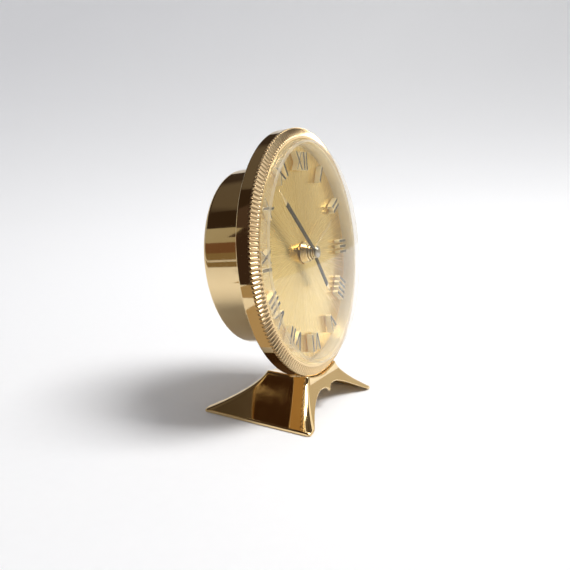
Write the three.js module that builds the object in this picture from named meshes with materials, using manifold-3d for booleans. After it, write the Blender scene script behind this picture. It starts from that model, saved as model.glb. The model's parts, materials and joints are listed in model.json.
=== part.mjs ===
// A table and travel alarm clock: a milled brass bezel and a short drum on a cast saddle foot,
// with an eight-day movement, an alarm train, fold-flat winding keys and a raised-numeral dial.
// Millimetres, +Z up, front towards -Y. The case leans back on its foot.

import * as THREE from 'three';
import { mergeVertices } from 'three/addons/utils/BufferGeometryUtils.js';
import Module from 'manifold-3d';

const wasm = await Module();
wasm.setup();

// ---------------------------------------------------------------- driving dimensions

const GAP = 0.3;                  // air between neighbouring pieces
const TILT = THREE.MathUtils.degToRad(9);
const CENTRE_HEIGHT = 48.3;       // dial centre above the table

const BEZEL_RADIUS = 38;
const BAND_DEPTH = 4.5;           // smooth outer band of the bezel
const BEZEL_LIP = 0.9;            // how far the milled chamfer stands ahead of the band
const MILLED_INNER_RADIUS = 35.2;
const CRYSTAL_RADIUS = 34.05;
const CRYSTAL_WALL = 1.2;
const CRYSTAL_EDGE = -2.8;        // where the wall turns into the dome
const CRYSTAL_APEX = -5;
const DIAL_FACE = 3;
const DIAL_THICKNESS = 0.5;

const DRUM_RADIUS = 27.75;
const DRUM_WALL = 0.8;
const DRUM_FRONT = 4.2;
const DRUM_BACK = 22;
const DRUM_ROUNDING = 2.5;
const COVER_RADIUS = 24.1;
const COVER_FACE = 21.7;
const COVER_THICKNESS = 0.7;

const PLATE_RADIUS = 25.4;
const FRONT_PLATE = [7, 8];
const REAR_PLATE = [17, 18];
const PIVOT_RADIUS = 0.25;
const PIVOT_LENGTH = 0.7;
const PIVOT_HOLE = 0.55;
const ARBOR_END = 24.4;           // rear end of the arbors that carry a knob

// Holes in the plates and in the rear cover, as radii.
const HOLES = {
  knob: 1, key: 2.2, stopButton: 1.5, coverScrew: 1.15, arbor: 0.8, pipes: 1.4, keyStem: 1.9,
  balanceWindow: 5, foot: 1.3,
};
const THROUGH = [-10, 40];        // a drill this long passes through any plate

const FOOT = {
  bottomHalfWidth: 25.8, topHalfWidth: 11, bottomFront: -14.3, topFront: -6.35,
  bottomRear: 20.9, topRear: 7.85, height: 12.45, lip: 1, wall: 1.7, sideWall: 2.2,
  sideFlare: 1.35, frontFlare: 1.7, rearFlare: 1.75, corner: 1.2, ceiling: 7.9,
};

const NUMERAL_RADIUS = 28.2;
const NUMERAL_HEIGHT = 5.6;
const NUMERAL_FRONT = 0.8;
const NUMERAL_BASE = 0.4;         // thickness of the foot that joins a numeral's letters
const HOUR_NAMES = ['I', 'II', 'III', 'IIII', 'V', 'VI', 'VII', 'VIII', 'IX', 'X', 'XI', 'XII'];

const MINUTE_ANGLE = THREE.MathUtils.degToRad(311);
const HOUR_ANGLE = THREE.MathUtils.degToRad(143);
const ALARM_ANGLE = THREE.MathUtils.degToRad(63);

// ---------------------------------------------------------------- materials

function metal(colour, roughness) {
  return new THREE.MeshStandardMaterial({ color: colour, roughness, metalness: 1 });
}

const polishedBrass = metal(0xd9a84e, 0.12);
const gilt = metal(0xe3bd6a, 0.2);
const dialGilt = metal(0xd8bb78, 0.38);
const movementBrass = metal(0xc9a455, 0.35);
const steel = metal(0xb9bbbd, 0.3);
const blackedSteel = metal(0x14120f, 0.35);
const springSteel = metal(0x5f6670, 0.3);
const acrylic = new THREE.MeshStandardMaterial({
  color: 0xf4f6f6, roughness: 0.05, metalness: 0, transparent: true, opacity: 0.25,
});

// ---------------------------------------------------------------- geometry helpers

// Shares the vertices, drops triangles that collapsed to a line and turns the faces outwards.
function closed(geometry) {
  geometry.deleteAttribute('normal');
  geometry.deleteAttribute('uv');
  const merged = mergeVertices(geometry, 1e-4);
  const kept = [];
  const corners = merged.index.array;
  const [a, b, c] = [new THREE.Vector3(), new THREE.Vector3(), new THREE.Vector3()];
  let volume = 0;
  for (let i = 0; i < corners.length; i += 3) {
    const [p, q, r] = [corners[i], corners[i + 1], corners[i + 2]];
    if (p === q || q === r || r === p) continue;
    kept.push(p, q, r);
    a.fromBufferAttribute(merged.attributes.position, p);
    b.fromBufferAttribute(merged.attributes.position, q);
    c.fromBufferAttribute(merged.attributes.position, r);
    volume += a.dot(b.cross(c));
  }
  if (volume < 0) kept.reverse();
  merged.setIndex(kept);
  return merged;
}

function toSolid(geometry) {
  const bare = closed(geometry);
  return new wasm.Manifold(new wasm.Mesh({
    numProp: 3,
    vertProperties: new Float32Array(bare.attributes.position.array),
    triVerts: new Uint32Array(bare.index.array),
  }));
}

function fromSolid(solid) {
  const mesh = solid.getMesh();
  const geometry = new THREE.BufferGeometry();
  geometry.setAttribute('position', new THREE.Float32BufferAttribute(mesh.vertProperties, 3));
  geometry.setIndex(Array.from(mesh.triVerts));
  return geometry;
}

function joined(...geometries) {
  return fromSolid(geometries.map(toSolid).reduce((sum, next) => sum.add(next)));
}

function cut(geometry, ...tools) {
  return fromSolid(tools.map(toSolid).reduce((rest, tool) => rest.subtract(tool), toSolid(geometry)));
}

// A profile of [radius, y] points turned about the Y axis.
function turned(profile, segments = 32) {
  return new THREE.LatheGeometry(profile.map(([r, y]) => new THREE.Vector2(r, y)), segments);
}

function ring(inner, outer, front, back, segments = 32) {
  return turned([[outer, front], [outer, back], [inner, back], [inner, front], [outer, front]], segments);
}

function rod(radius, front, back, segments = 12) {
  return turned([[0, front], [radius, front], [radius, back], [0, back]], segments);
}

// A shape drawn as seen from the front (x to the right, y up), as thick as front..back in Y.
function plate(shape, front, back, curveSegments = 8) {
  const settings = { depth: back - front, bevelEnabled: false, curveSegments };
  return new THREE.ExtrudeGeometry(shape, settings).rotateX(Math.PI / 2).translate(0, back, 0);
}

function polygon(points) {
  return new THREE.Shape(points.map(([x, y]) => new THREE.Vector2(x, y)));
}

// Round holes drilled right through a plate, each given as [radius, place].
function drilled(blank, holes) {
  const drills = holes.map(([radius, [x, z]]) => {
    const sides = radius === HOLES.balanceWindow ? 24 : 6;
    return rod(radius, ...THROUGH, sides).translate(x, 0, z);
  });
  return cut(blank, ...drills);
}

// A point at a distance along a clock angle: 0 is up, a quarter turn is to the right.
function towards(distance, angle, from = [0, 0]) {
  return [from[0] + distance * Math.sin(angle), from[1] + distance * Math.cos(angle)];
}

function clockAngle(from, to) {
  return Math.atan2(to[0] - from[0], to[1] - from[1]);
}

const degrees = THREE.MathUtils.degToRad;

// ---------------------------------------------------------------- gears

// Short straight teeth with generous backlash; a tooth is centred on the clock angle `phase`.
function gearShape(teeth, pitchRadius, phase = 0) {
  const size = 2 * pitchRadius / teeth;
  const tip = pitchRadius + 0.4 * size;
  const root = pitchRadius - 1.2 * size;
  const pitch = 2 * Math.PI / teeth;
  const points = [];
  for (let k = 0; k < teeth; k++) {
    const middle = phase + k * pitch;
    points.push(towards(tip, middle - 0.1 * pitch));
    points.push(towards(tip, middle + 0.1 * pitch));
    points.push(towards(root, middle + 0.5 * pitch));
  }
  return polygon(points);
}

// The phase of a gear that meshes with another one lying in the direction `angle` from it.
function meshing(driverTeeth, driverPhase, angle, teeth) {
  const turn = 2 * Math.PI;
  const fraction = (angle - driverPhase) * driverTeeth / turn;
  return angle + Math.PI - (0.5 - fraction) * turn / teeth;
}

const CANNON = { teeth: 8, radius: 1.2 };
const MINUTE_WHEEL = { teeth: 24, radius: 3.6 };
const MINUTE_PINION = { teeth: 6, radius: 0.96 };
const HOUR_WHEEL = { teeth: 24, radius: 3.84 };
const ALARM_WHEEL = { teeth: 24, radius: 6 };
const ALARM_PINION = { teeth: 12, radius: 3 };
const GREAT_WHEEL = { teeth: 40, radius: 8.75 };
const CENTRE_PINION = { teeth: 8, radius: 1.75 };
const CENTRE_WHEEL = { teeth: 48, radius: 6.72 };
const THIRD_PINION = { teeth: 6, radius: 0.84 };
const THIRD_WHEEL = { teeth: 45, radius: 6.075 };
const FOURTH_PINION = { teeth: 6, radius: 0.81 };
const FOURTH_WHEEL = { teeth: 48, radius: 5.92 };
const ESCAPE_PINION = { teeth: 6, radius: 0.74 };
const ALARM_GREAT_WHEEL = { teeth: 32, radius: 6.92 };
const ALARM_ESCAPE_PINION = { teeth: 8, radius: 1.73 };
const ESCAPE_RADIUS = 3.7;

// Where the arbors stand, seen from the front.
const CENTRE = [0, 0];
const BARREL = [-7.8, -7.03];
const ALARM_BARREL = [9.8, -7];
const THIRD = towards(CENTRE_WHEEL.radius + THIRD_PINION.radius, degrees(-5));
const FOURTH = towards(THIRD_WHEEL.radius + FOURTH_PINION.radius, degrees(-75), THIRD);
const ESCAPE = towards(FOURTH_WHEEL.radius + ESCAPE_PINION.radius, degrees(30), FOURTH);
const BALANCE = [7.4, 13.5];
const FORK = towards(5.4, clockAngle(ESCAPE, BALANCE), ESCAPE);
const ALARM_SETTER = towards(ALARM_WHEEL.radius + ALARM_PINION.radius, degrees(70));
const ALARM_ESCAPE = towards(
  ALARM_GREAT_WHEEL.radius + ALARM_ESCAPE_PINION.radius, degrees(170), ALARM_BARREL);
const HAMMER = [16.6, -13.4];
const MINUTE_POST = towards(CANNON.radius + MINUTE_WHEEL.radius, degrees(-120));
const STOP_BUTTON = [-13.5, 9.5];
const PILLARS = [60, 180, 300].map((angle) => towards(23.3, degrees(angle)));
const COVER_SCREWS = [60, 180, 300].map((angle) => towards(21.6, degrees(angle)));

function arborWithPivots(radius, front = FRONT_PLATE[1] + GAP, back = REAR_PLATE[0] - GAP) {
  const reach = GAP + PIVOT_LENGTH;
  return turned([
    [0, front - reach], [PIVOT_RADIUS, front - reach], [PIVOT_RADIUS, front], [radius, front],
    [radius, back], [PIVOT_RADIUS, back], [PIVOT_RADIUS, back + reach], [0, back + reach],
  ], 6);
}

// ---------------------------------------------------------------- the scene graph

const object = new THREE.Group();
const clock = new THREE.Group();
clock.position.set(0, 0, CENTRE_HEIGHT);
clock.rotation.x = -TILT;
object.add(clock);

function add(name, geometry, material, [x, z] = CENTRE, turn = 0, parent = clock) {
  const mesh = new THREE.Mesh(closed(geometry), material);
  mesh.name = name;
  mesh.position.set(x, 0, z);
  mesh.rotation.y = turn;
  parent.add(mesh);
  return mesh;
}

// ---------------------------------------------------------------- foot

// The four sides of the casting at a height: upright lip, then hollow flares up to the saddle.
function footSides(height) {
  const above = Math.max(height - FOOT.lip, 0) / (FOOT.height - FOOT.lip);
  const spread = (top, bottom, power) => top + (bottom - top) * (1 - Math.min(above, 1)) ** power;
  return {
    side: spread(FOOT.topHalfWidth, FOOT.bottomHalfWidth, FOOT.sideFlare),
    front: spread(FOOT.topFront, FOOT.bottomFront, FOOT.frontFlare),
    rear: spread(FOOT.topRear, FOOT.bottomRear, FOOT.rearFlare),
  };
}

function roundedSection(halfWidth, front, rear, corner, height) {
  const steps = 3;
  const section = [];
  const centres = [
    [halfWidth - corner, rear - corner, 0], [corner - halfWidth, rear - corner, 1],
    [corner - halfWidth, front + corner, 2], [halfWidth - corner, front + corner, 3],
  ];
  for (const [x, y, quarter] of centres) {
    for (let k = 0; k <= steps; k++) {
      const angle = (quarter + k / steps) * Math.PI / 2;
      section.push([x + corner * Math.cos(angle), y + corner * Math.sin(angle), height]);
    }
  }
  return section;
}

// Joins equal rings of points into a skin and closes both ends with fans.
function loft(sections) {
  const count = sections[0].length;
  const positions = sections.flat(2);
  const faces = [];
  for (let level = 0; level < sections.length - 1; level++) {
    for (let k = 0; k < count; k++) {
      const next = (k + 1) % count;
      const [a, b] = [level * count + k, level * count + next];
      faces.push(a, b, b + count, a, b + count, a + count);
    }
  }
  const last = (sections.length - 1) * count;
  for (let k = 1; k < count - 1; k++) {
    faces.push(0, k + 1, k);
    faces.push(last, last + k, last + k + 1);
  }
  const geometry = new THREE.BufferGeometry();
  geometry.setAttribute('position', new THREE.Float32BufferAttribute(positions, 3));
  geometry.setIndex(faces);
  return geometry;
}

function footBlock() {
  const steps = 7;
  const heights = [0];
  for (let k = 0; k <= steps; k++) heights.push(FOOT.lip + (FOOT.height - FOOT.lip) * k / steps);
  return loft(heights.map((height) => {
    const { side, front, rear } = footSides(height);
    return roundedSection(side, front, rear, FOOT.corner, height);
  }));
}

function footPocket() {
  const heights = [-0.5, FOOT.lip, 2.5, 4.3, 6.1, FOOT.ceiling];
  return loft(heights.map((height) => {
    const { side, front, rear } = footSides(height);
    return roundedSection(side - FOOT.sideWall, front + FOOT.wall, rear - FOOT.wall, 1, height);
  }));
}

// The arch under the foot: two lobes that meet in a cusp at the middle.
function archShape() {
  const toe = 24.2;
  const crown = [5.4, 6.8];
  const cusp = 5.3;
  const shape = new THREE.Shape();
  shape.moveTo(-toe, -1);
  shape.lineTo(-toe, 0);
  shape.bezierCurveTo(-19.5, 1.6, -10.5, 6.6, -crown[0], crown[1]);
  shape.quadraticCurveTo(-0.9, 7, 0, cusp);
  shape.quadraticCurveTo(0.9, 7, crown[0], crown[1]);
  shape.bezierCurveTo(10.5, 6.6, 19.5, 1.6, toe, 0);
  shape.lineTo(toe, -1);
  return shape;
}

const SCREW_PLACE = 2.7;          // the foot screw's distance behind the bezel's front edge

function upright(radius, bottom, top, segments = 12) {
  return rod(radius, bottom, top, segments).rotateX(Math.PI / 2).translate(0, SCREW_PLACE, 0);
}

function toTable(geometry) {
  return geometry.rotateX(-TILT).translate(0, 0, CENTRE_HEIGHT);
}

// The bezel sits in a round seat; behind it an upright saddle stands clear of the drum.
const seatRadius = BEZEL_RADIUS + GAP;
const seat = [-4, BAND_DEPTH + 0.8];
const saddleRadius = seatRadius + 0.3;
const saddleBottom = 10.2;
const saddle = [-1.5, 30];
const screwHole = { radius: HOLES.foot, foot: [-45, -36], bezel: [-40, -35.4] };
const foot = cut(
  footBlock(),
  footPocket(),
  plate(archShape(), -20, 26, 6),
  toTable(rod(seatRadius, ...seat, 64)),
  rod(saddleRadius, ...saddle, 64).translate(0, 0, saddleBottom + saddleRadius),
  toTable(upright(screwHole.radius, ...screwHole.foot)),
);
add('foot', foot, polishedBrass, CENTRE, 0, object);

const footScrewShank = { radius: 1, span: [-41.3, -35.8] };
const footScrewHead = { radius: 1.9, span: [-42, -40.85] };
const footScrewSlot = new THREE.BoxGeometry(0.5, 4.4, 1).translate(0, SCREW_PLACE, -42.1);
const footScrew = cut(
  joined(
    upright(footScrewShank.radius, ...footScrewShank.span),
    upright(footScrewHead.radius, ...footScrewHead.span),
  ),
  footScrewSlot,
);
add('foot_screw', footScrew, steel);

// ---------------------------------------------------------------- case

const bezelInner = CRYSTAL_RADIUS + GAP;
const flangeBack = BAND_DEPTH + 0.4;
const flangeFront = DIAL_FACE + DIAL_THICKNESS + GAP;
const flangeInner = DRUM_RADIUS + GAP;
const bezelRing = turned([
  [BEZEL_RADIUS, 0], [BEZEL_RADIUS, BAND_DEPTH], [BEZEL_RADIUS - 0.8, flangeBack],
  [flangeInner, flangeBack], [flangeInner, flangeFront], [bezelInner, flangeFront],
  [bezelInner, -BEZEL_LIP], [MILLED_INNER_RADIUS, -BEZEL_LIP], [BEZEL_RADIUS, 0],
], 56);
add('bezel', cut(bezelRing, upright(screwHole.radius, ...screwHole.bezel)), polishedBrass);

// Points of a shallow dome from the rim to the apex on the axis.
function dome(rimRadius, rimY, apexY, steps = 3) {
  const points = [];
  for (let k = 0; k <= steps; k++) {
    const r = rimRadius * (1 - k / steps);
    points.push([r, apexY + (rimY - apexY) * (r / rimRadius) ** 2]);
  }
  return points;
}

const crystalFoot = DIAL_FACE - GAP;
const crystalInner = CRYSTAL_RADIUS - CRYSTAL_WALL;
const crystalInnerEdge = CRYSTAL_EDGE + 0.8;
const crystalBevel = { width: 0.7, height: 0.45 };
add('crystal', turned([
  ...dome(crystalInner, crystalInnerEdge, CRYSTAL_APEX + CRYSTAL_WALL).reverse(),
  [crystalInner, crystalFoot], [CRYSTAL_RADIUS, crystalFoot], [CRYSTAL_RADIUS, CRYSTAL_EDGE],
  ...dome(CRYSTAL_RADIUS - crystalBevel.width, CRYSTAL_EDGE - crystalBevel.height, CRYSTAL_APEX),
], 48), acrylic);

const dialHole = 3.5;
const dialRadius = CRYSTAL_RADIUS - 0.05;
const dialLayer = [DIAL_FACE, DIAL_FACE + DIAL_THICKNESS];
add('dial', ring(dialHole, dialRadius, ...dialLayer, 48), dialGilt);

function drumProfile() {
  const steps = 3;
  const outer = [];
  const inner = [];
  for (let k = 0; k <= steps; k++) {
    const angle = k / steps * Math.PI / 2;
    const [c, s] = [Math.cos(angle), Math.sin(angle)];
    const centre = [DRUM_RADIUS - DRUM_ROUNDING, DRUM_BACK - DRUM_ROUNDING];
    outer.push([centre[0] + DRUM_ROUNDING * c, centre[1] + DRUM_ROUNDING * s]);
    const innerRounding = DRUM_ROUNDING - DRUM_WALL;
    inner.unshift([centre[0] + innerRounding * c, centre[1] + innerRounding * s]);
  }
  const lip = COVER_RADIUS + GAP;
  return [
    [DRUM_RADIUS, DRUM_FRONT], ...outer, [lip, DRUM_BACK], [lip, DRUM_BACK - DRUM_WALL], ...inner,
    [DRUM_RADIUS - DRUM_WALL, DRUM_FRONT], [DRUM_RADIUS, DRUM_FRONT],
  ];
}

add('drum', turned(drumProfile(), 40), polishedBrass);

// The regulator's pin swings in an arched slot about the balance axis.
const REGULATOR_REACH = 5;
const REGULATOR_SWING = degrees(15);

function regulatorSlot() {
  const half = REGULATOR_SWING + degrees(8);
  const width = 0.9;
  const steps = 6;
  const points = [];
  for (let k = 0; k <= steps; k++) {
    points.push(towards(REGULATOR_REACH + width, -half + 2 * half * k / steps, BALANCE));
  }
  for (let k = steps; k >= 0; k--) {
    points.push(towards(REGULATOR_REACH - width, -half + 2 * half * k / steps, BALANCE));
  }
  return plate(polygon(points), ...THROUGH);
}

const coverLayer = [COVER_FACE - COVER_THICKNESS, COVER_FACE];
const coverBlank = cut(rod(COVER_RADIUS, ...coverLayer, 40), regulatorSlot());
add('rear_cover', drilled(coverBlank, [
  [HOLES.knob, CENTRE], [HOLES.knob, ALARM_SETTER],
  [HOLES.key, BARREL], [HOLES.key, ALARM_BARREL],
  [HOLES.stopButton, STOP_BUTTON],
  ...COVER_SCREWS.map((place) => [HOLES.coverScrew, place]),
]), gilt);

function slottedScrew(shank, head, tip, under, top) {
  return cut(
    turned([[0, tip], [shank, tip], [shank, under], [head, under], [head, top - 0.2],
      [head - 0.25, top], [0, top]], 8),
    new THREE.BoxGeometry(2 * head + 1, 0.7, 0.4).translate(0, top, 0),
  );
}

const coverScrew = {
  shank: 0.8, head: 1.6, tip: REAR_PLATE[1] + GAP, under: COVER_FACE + GAP, top: COVER_FACE + 1.1,
};
COVER_SCREWS.forEach((place, k) => {
  const { shank, head, tip, under, top } = coverScrew;
  const screw = slottedScrew(shank, head, tip, under, top);
  add(`cover_screw_${k + 1}`, screw, steel, place, degrees(35 + 50 * k));
});

// ---------------------------------------------------------------- numerals

function bar(topX, bottomX, width) {
  const half = NUMERAL_HEIGHT / 2;
  return polygon([
    [topX - width / 2, half], [topX + width / 2, half],
    [bottomX + width / 2, -half], [bottomX - width / 2, -half],
  ]);
}

function numeral(text) {
  const [thick, thin, space] = [1.05, 0.6, 0.8];
  const widths = { I: thick, V: 4.3, X: 4.3 };
  const total = [...text].reduce((sum, letter) => sum + widths[letter] + space, -space);
  const pieces = [];
  let left = -total / 2;
  for (const letter of text) {
    const right = left + widths[letter];
    const middle = (left + right) / 2;
    if (letter === 'I') pieces.push(bar(middle, middle, thick));
    if (letter === 'V') {
      pieces.push(bar(left + thick / 2, middle, thick));
      pieces.push(bar(right - thin / 2, middle, thin));
    }
    if (letter === 'X') {
      pieces.push(bar(left + thick / 2, right - thick / 2, thick));
      pieces.push(bar(right - thin / 2, left + thin / 2, thin));
    }
    left = right + space;
  }
  const [half, back] = [NUMERAL_HEIGHT / 2, DIAL_FACE - GAP];
  const side = total / 2;
  const base = polygon([[-side, -half], [side, -half], [side, half], [-side, half]]);
  const letters = pieces.map((shape) => plate(shape, NUMERAL_FRONT, back));
  return joined(plate(base, back - NUMERAL_BASE, back), ...letters);
}

HOUR_NAMES.forEach((name, k) => {
  const angle = degrees(30 * (k + 1));
  const label = String(k + 1).padStart(2, '0');
  add(`numeral_${label}`, numeral(name), gilt, towards(NUMERAL_RADIUS, angle), angle);
});

// ---------------------------------------------------------------- hands and their pipes

const PIPES = {
  arbor: 0.45, post: 0.5, cannon: [0.75, 1], hour: [1.3, 1.55], alarm: [1.85, 2.1], boss: 2.4,
};

// A turned bush with grooved rings, standing on the dial around the pipes.
function bossProfile() {
  const rings = 3;
  const [front, back] = [0.6, DIAL_FACE - GAP];
  const step = (back - front) / rings;
  const profile = [[PIPES.boss, front], [PIPES.boss, back]];
  for (let k = 0; k < rings; k++) {
    const radius = 3.25 - 0.12 * k;
    const y = back - k * step;
    profile.push([radius, y], [radius, y - 0.6 * step], [radius - 0.25, y - 0.8 * step]);
  }
  profile.push([PIPES.boss, front]);
  return profile;
}

add('centre_boss', turned(bossProfile(), 16), polishedBrass);

function handShape(hub, points) {
  const outline = [...points, ...points.map(([x, z]) => [-x, z]).reverse()];
  return [polygon(outline), hub];
}

function hand([outline, hubRadius], bore, front, back) {
  const blade = plate(outline, front, back);
  const hub = rod(hubRadius, front, back, 14);
  return cut(joined(blade, hub), rod(bore, front - 1, back + 1, 12));
}

const MINUTE_HAND = [-1.45, -1.15];
const HOUR_HAND = [-0.8, -0.5];
const ALARM_HAND = [-0.1, 0.2];
const minuteOutline = handShape(1.85, [[0.7, -1], [0.8, 23], [0.3, 26], [0.16, 28.5]]);
const hourOutline = handShape(1.95, [[0.7, -1], [0.8, 14], [0.3, 15.2], [0.16, 17.2]]);
const alarmOutline = handShape(2.35, [[0.35, -1], [0.35, 19], [0.14, 20]]);

const minuteHand = hand(minuteOutline, PIPES.cannon[0], ...MINUTE_HAND);
const hourHand = hand(hourOutline, PIPES.hour[0], ...HOUR_HAND);
const alarmHand = hand(alarmOutline, PIPES.alarm[0], ...ALARM_HAND);
add('minute_hand', minuteHand, blackedSteel, CENTRE, MINUTE_ANGLE);
add('hour_hand', hourHand, blackedSteel, CENTRE, HOUR_ANGLE);
add('alarm_hand', alarmHand, gilt, CENTRE, ALARM_ANGLE);

add('hand_cap', turned([
  [0, -1.75], [1.9, -1.75], [1.9, -2], [1.65, -2.3], [1.1, -2.5], [0, -2.6],
], 14), steel);

// ---------------------------------------------------------------- motion work under the dial

const cannonTeeth = [5.2, 6.7];
add('cannon_pinion', cut(
  joined(plate(gearShape(CANNON.teeth, CANNON.radius), ...cannonTeeth),
    rod(PIPES.cannon[1], MINUTE_HAND[1] + GAP, cannonTeeth[1], 12)),
  rod(PIPES.cannon[0], ...THROUGH, 12),
), steel);

const minuteWheelAngle = clockAngle(CENTRE, MINUTE_POST);
const minuteWheelPhase = meshing(CANNON.teeth, 0, minuteWheelAngle, MINUTE_WHEEL.teeth);
add('minute_wheel', cut(
  joined(plate(gearShape(MINUTE_WHEEL.teeth, MINUTE_WHEEL.radius, minuteWheelPhase), 5.5, 6),
    plate(gearShape(MINUTE_PINION.teeth, MINUTE_PINION.radius), 4.4, 5.8)),
  rod(PIPES.post, ...THROUGH, 8),
), movementBrass, MINUTE_POST);

const hourPhase = meshing(MINUTE_PINION.teeth, 0, minuteWheelAngle + Math.PI, HOUR_WHEEL.teeth);
add('hour_wheel', cut(
  joined(plate(gearShape(HOUR_WHEEL.teeth, HOUR_WHEEL.radius, hourPhase), 4.5, 4.9),
    rod(PIPES.hour[1], HOUR_HAND[1] + GAP, 4.9, 12)),
  rod(PIPES.hour[0], ...THROUGH, 12),
), movementBrass);

add('alarm_disc', cut(
  joined(plate(gearShape(ALARM_WHEEL.teeth, ALARM_WHEEL.radius), 3.8, 4.2),
    rod(PIPES.alarm[1], ALARM_HAND[1] + GAP, 4.2, 12)),
  rod(PIPES.alarm[0], ...THROUGH, 12),
), movementBrass);

const setterPhase = meshing(
  ALARM_WHEEL.teeth, 0, clockAngle(CENTRE, ALARM_SETTER), ALARM_PINION.teeth);
const KNOB = { front: 22.2, back: 25, bore: 0.75 };
add('alarm_setting_arbor', joined(
  plate(gearShape(ALARM_PINION.teeth, ALARM_PINION.radius, setterPhase), 3.8, 4.3),
  rod(PIPES.arbor, 3.8, ARBOR_END, 8),
), steel, ALARM_SETTER);

function knurledKnob(radius) {
  const grip = gearShape(16, radius - 0.3);
  return cut(
    joined(plate(grip, KNOB.front + 0.6, KNOB.back), rod(radius * 0.55, KNOB.front, KNOB.back, 10)),
    rod(KNOB.bore, KNOB.front - 1, 24.7, 8),
  );
}

add('alarm_setting_knob', knurledKnob(3.5), polishedBrass, ALARM_SETTER);
add('hand_setting_knob', knurledKnob(4.2), polishedBrass);

// ---------------------------------------------------------------- movement frame

const drilledInBoth = [THIRD, FOURTH, ESCAPE, FORK, ALARM_ESCAPE, HAMMER];
const frontPlate = drilled(rod(PLATE_RADIUS, ...FRONT_PLATE, 30), [
  [HOLES.pipes, CENTRE], [HOLES.arbor, ALARM_SETTER],
  ...[...drilledInBoth, BALANCE, BARREL, ALARM_BARREL].map((place) => [PIVOT_HOLE, place]),
]);
const minutePost = rod(0.2, 4.5, FRONT_PLATE[0] + 0.2, 6);
minutePost.translate(MINUTE_POST[0], 0, MINUTE_POST[1]);
add('front_plate', joined(frontPlate, minutePost), movementBrass);
add('rear_plate', drilled(rod(PLATE_RADIUS, ...REAR_PLATE, 30), [
  [HOLES.arbor, CENTRE], [HOLES.arbor, ALARM_SETTER], [HOLES.balanceWindow, BALANCE],
  [HOLES.keyStem, BARREL], [HOLES.keyStem, ALARM_BARREL],
  ...drilledInBoth.map((place) => [PIVOT_HOLE, place]),
]), movementBrass);

PILLARS.forEach((place, k) => {
  const [front, back] = [FRONT_PLATE[1] + GAP, REAR_PLATE[0] - GAP];
  add(`pillar_${k + 1}`, turned([
    [0, front], [1.6, front], [1.6, front + 1.4], [1.1, front + 1.8],
    [1.1, back - 1.8], [1.6, back - 1.4], [1.6, back], [0, back],
  ], 8), movementBrass, place);
});

// ---------------------------------------------------------------- barrels, springs and keys

const BARREL_BODY = [8.5, 13.2];
const BARREL_WALL = 0.5;
const BARREL_FLOOR = 0.8;
const BARREL_BORE = 1.8;
const SPRING_LAYER = [8.8, 12];

function barrel(gear, phase, radius) {
  const [front, back] = BARREL_BODY;
  const floor = back - BARREL_FLOOR;
  return cut(
    joined(plate(gearShape(gear.teeth, gear.radius, phase), floor, back), rod(radius, front, back, 18)),
    rod(radius - BARREL_WALL, front - 1, floor, 18),
    rod(BARREL_BORE, ...THROUGH, 12),
  );
}

// A flat strip wound outwards as a spiral.
function spiral(inner, outer, turns, thickness, stepsPerTurn, start = 0) {
  const steps = Math.round(turns * stepsPerTurn);
  const [outside, inside] = [[], []];
  for (let k = 0; k <= steps; k++) {
    const radius = inner + (outer - inner) * k / steps;
    const angle = start + 2 * Math.PI * k / stepsPerTurn;
    outside.push(towards(radius + thickness / 2, angle));
    inside.unshift(towards(radius - thickness / 2, angle));
  }
  return polygon([...outside, ...inside]);
}

// A winding arbor with the key's round hub and two lugs for the folding wing.
const KEY_TOP = 24.6;
const WING_AXIS = 25.8;
const LUG = { inside: 3.1, outside: 3.9 };

function windingKey() {
  const lug = (side) => new THREE.BoxGeometry(LUG.outside - LUG.inside, 2.2, 1.8)
    .translate(side * (LUG.inside + LUG.outside) / 2, KEY_TOP + 0.9, 0);
  const stem = turned([
    [0, 7.4], [PIVOT_RADIUS, 7.4], [PIVOT_RADIUS, 8.4], [1.2, 8.4], [1.2, 16.8], [1.5, 16.8],
    [1.5, 22.3], [LUG.outside, 22.3], [LUG.outside, KEY_TOP - 0.4], [LUG.outside - 0.4, KEY_TOP],
    [0, KEY_TOP],
  ], 14);
  return joined(stem, lug(-1), lug(1));
}

// The wing hangs from its pin and folds flat: narrow between the lugs, then a rounded leaf.
function keyWing() {
  const [neck, leaf, length] = [2.4, 4.4, 8];
  const shape = new THREE.Shape();
  shape.moveTo(-neck, 0.5);
  shape.lineTo(neck, 0.5);
  shape.lineTo(neck, -1.7);
  shape.quadraticCurveTo(leaf, -2.2, leaf, -4.4);
  shape.quadraticCurveTo(leaf, -length, 0, -length);
  shape.quadraticCurveTo(-leaf, -length, -leaf, -4.4);
  shape.quadraticCurveTo(-leaf, -2.2, -neck, -1.7);
  const pin = rod(0.6, -LUG.inside + GAP, LUG.inside - GAP, 10).rotateZ(Math.PI / 2);
  const eye = rod(1.3, -1, 1, 12).translate(0, 0, -4.8);
  return cut(joined(plate(shape, -0.4, 0.4, 5), pin), eye).translate(0, WING_AXIS, 0);
}

const centrePinionPhase = meshing(
  GREAT_WHEEL.teeth, 0, clockAngle(BARREL, CENTRE), CENTRE_PINION.teeth);
add('going_barrel', barrel(GREAT_WHEEL, 0, 8.1), movementBrass, BARREL);
add('mainspring', plate(spiral(2.2, 7.3, 4, 0.3, 12), ...SPRING_LAYER), springSteel, BARREL);
add('time_key', windingKey(), polishedBrass, BARREL);
add('time_key_wing', keyWing(), polishedBrass, BARREL);

const alarmPhase = meshing(ALARM_GREAT_WHEEL.teeth, 0,
  clockAngle(ALARM_BARREL, ALARM_ESCAPE), ALARM_ESCAPE_PINION.teeth);
add('alarm_barrel', barrel(ALARM_GREAT_WHEEL, 0, 6.2), movementBrass, ALARM_BARREL);
add('alarm_mainspring', plate(spiral(2.2, 5.4, 3, 0.3, 12), ...SPRING_LAYER), springSteel, ALARM_BARREL);
add('alarm_key', windingKey(), polishedBrass, ALARM_BARREL);
add('alarm_key_wing', keyWing(), polishedBrass, ALARM_BARREL);

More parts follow.
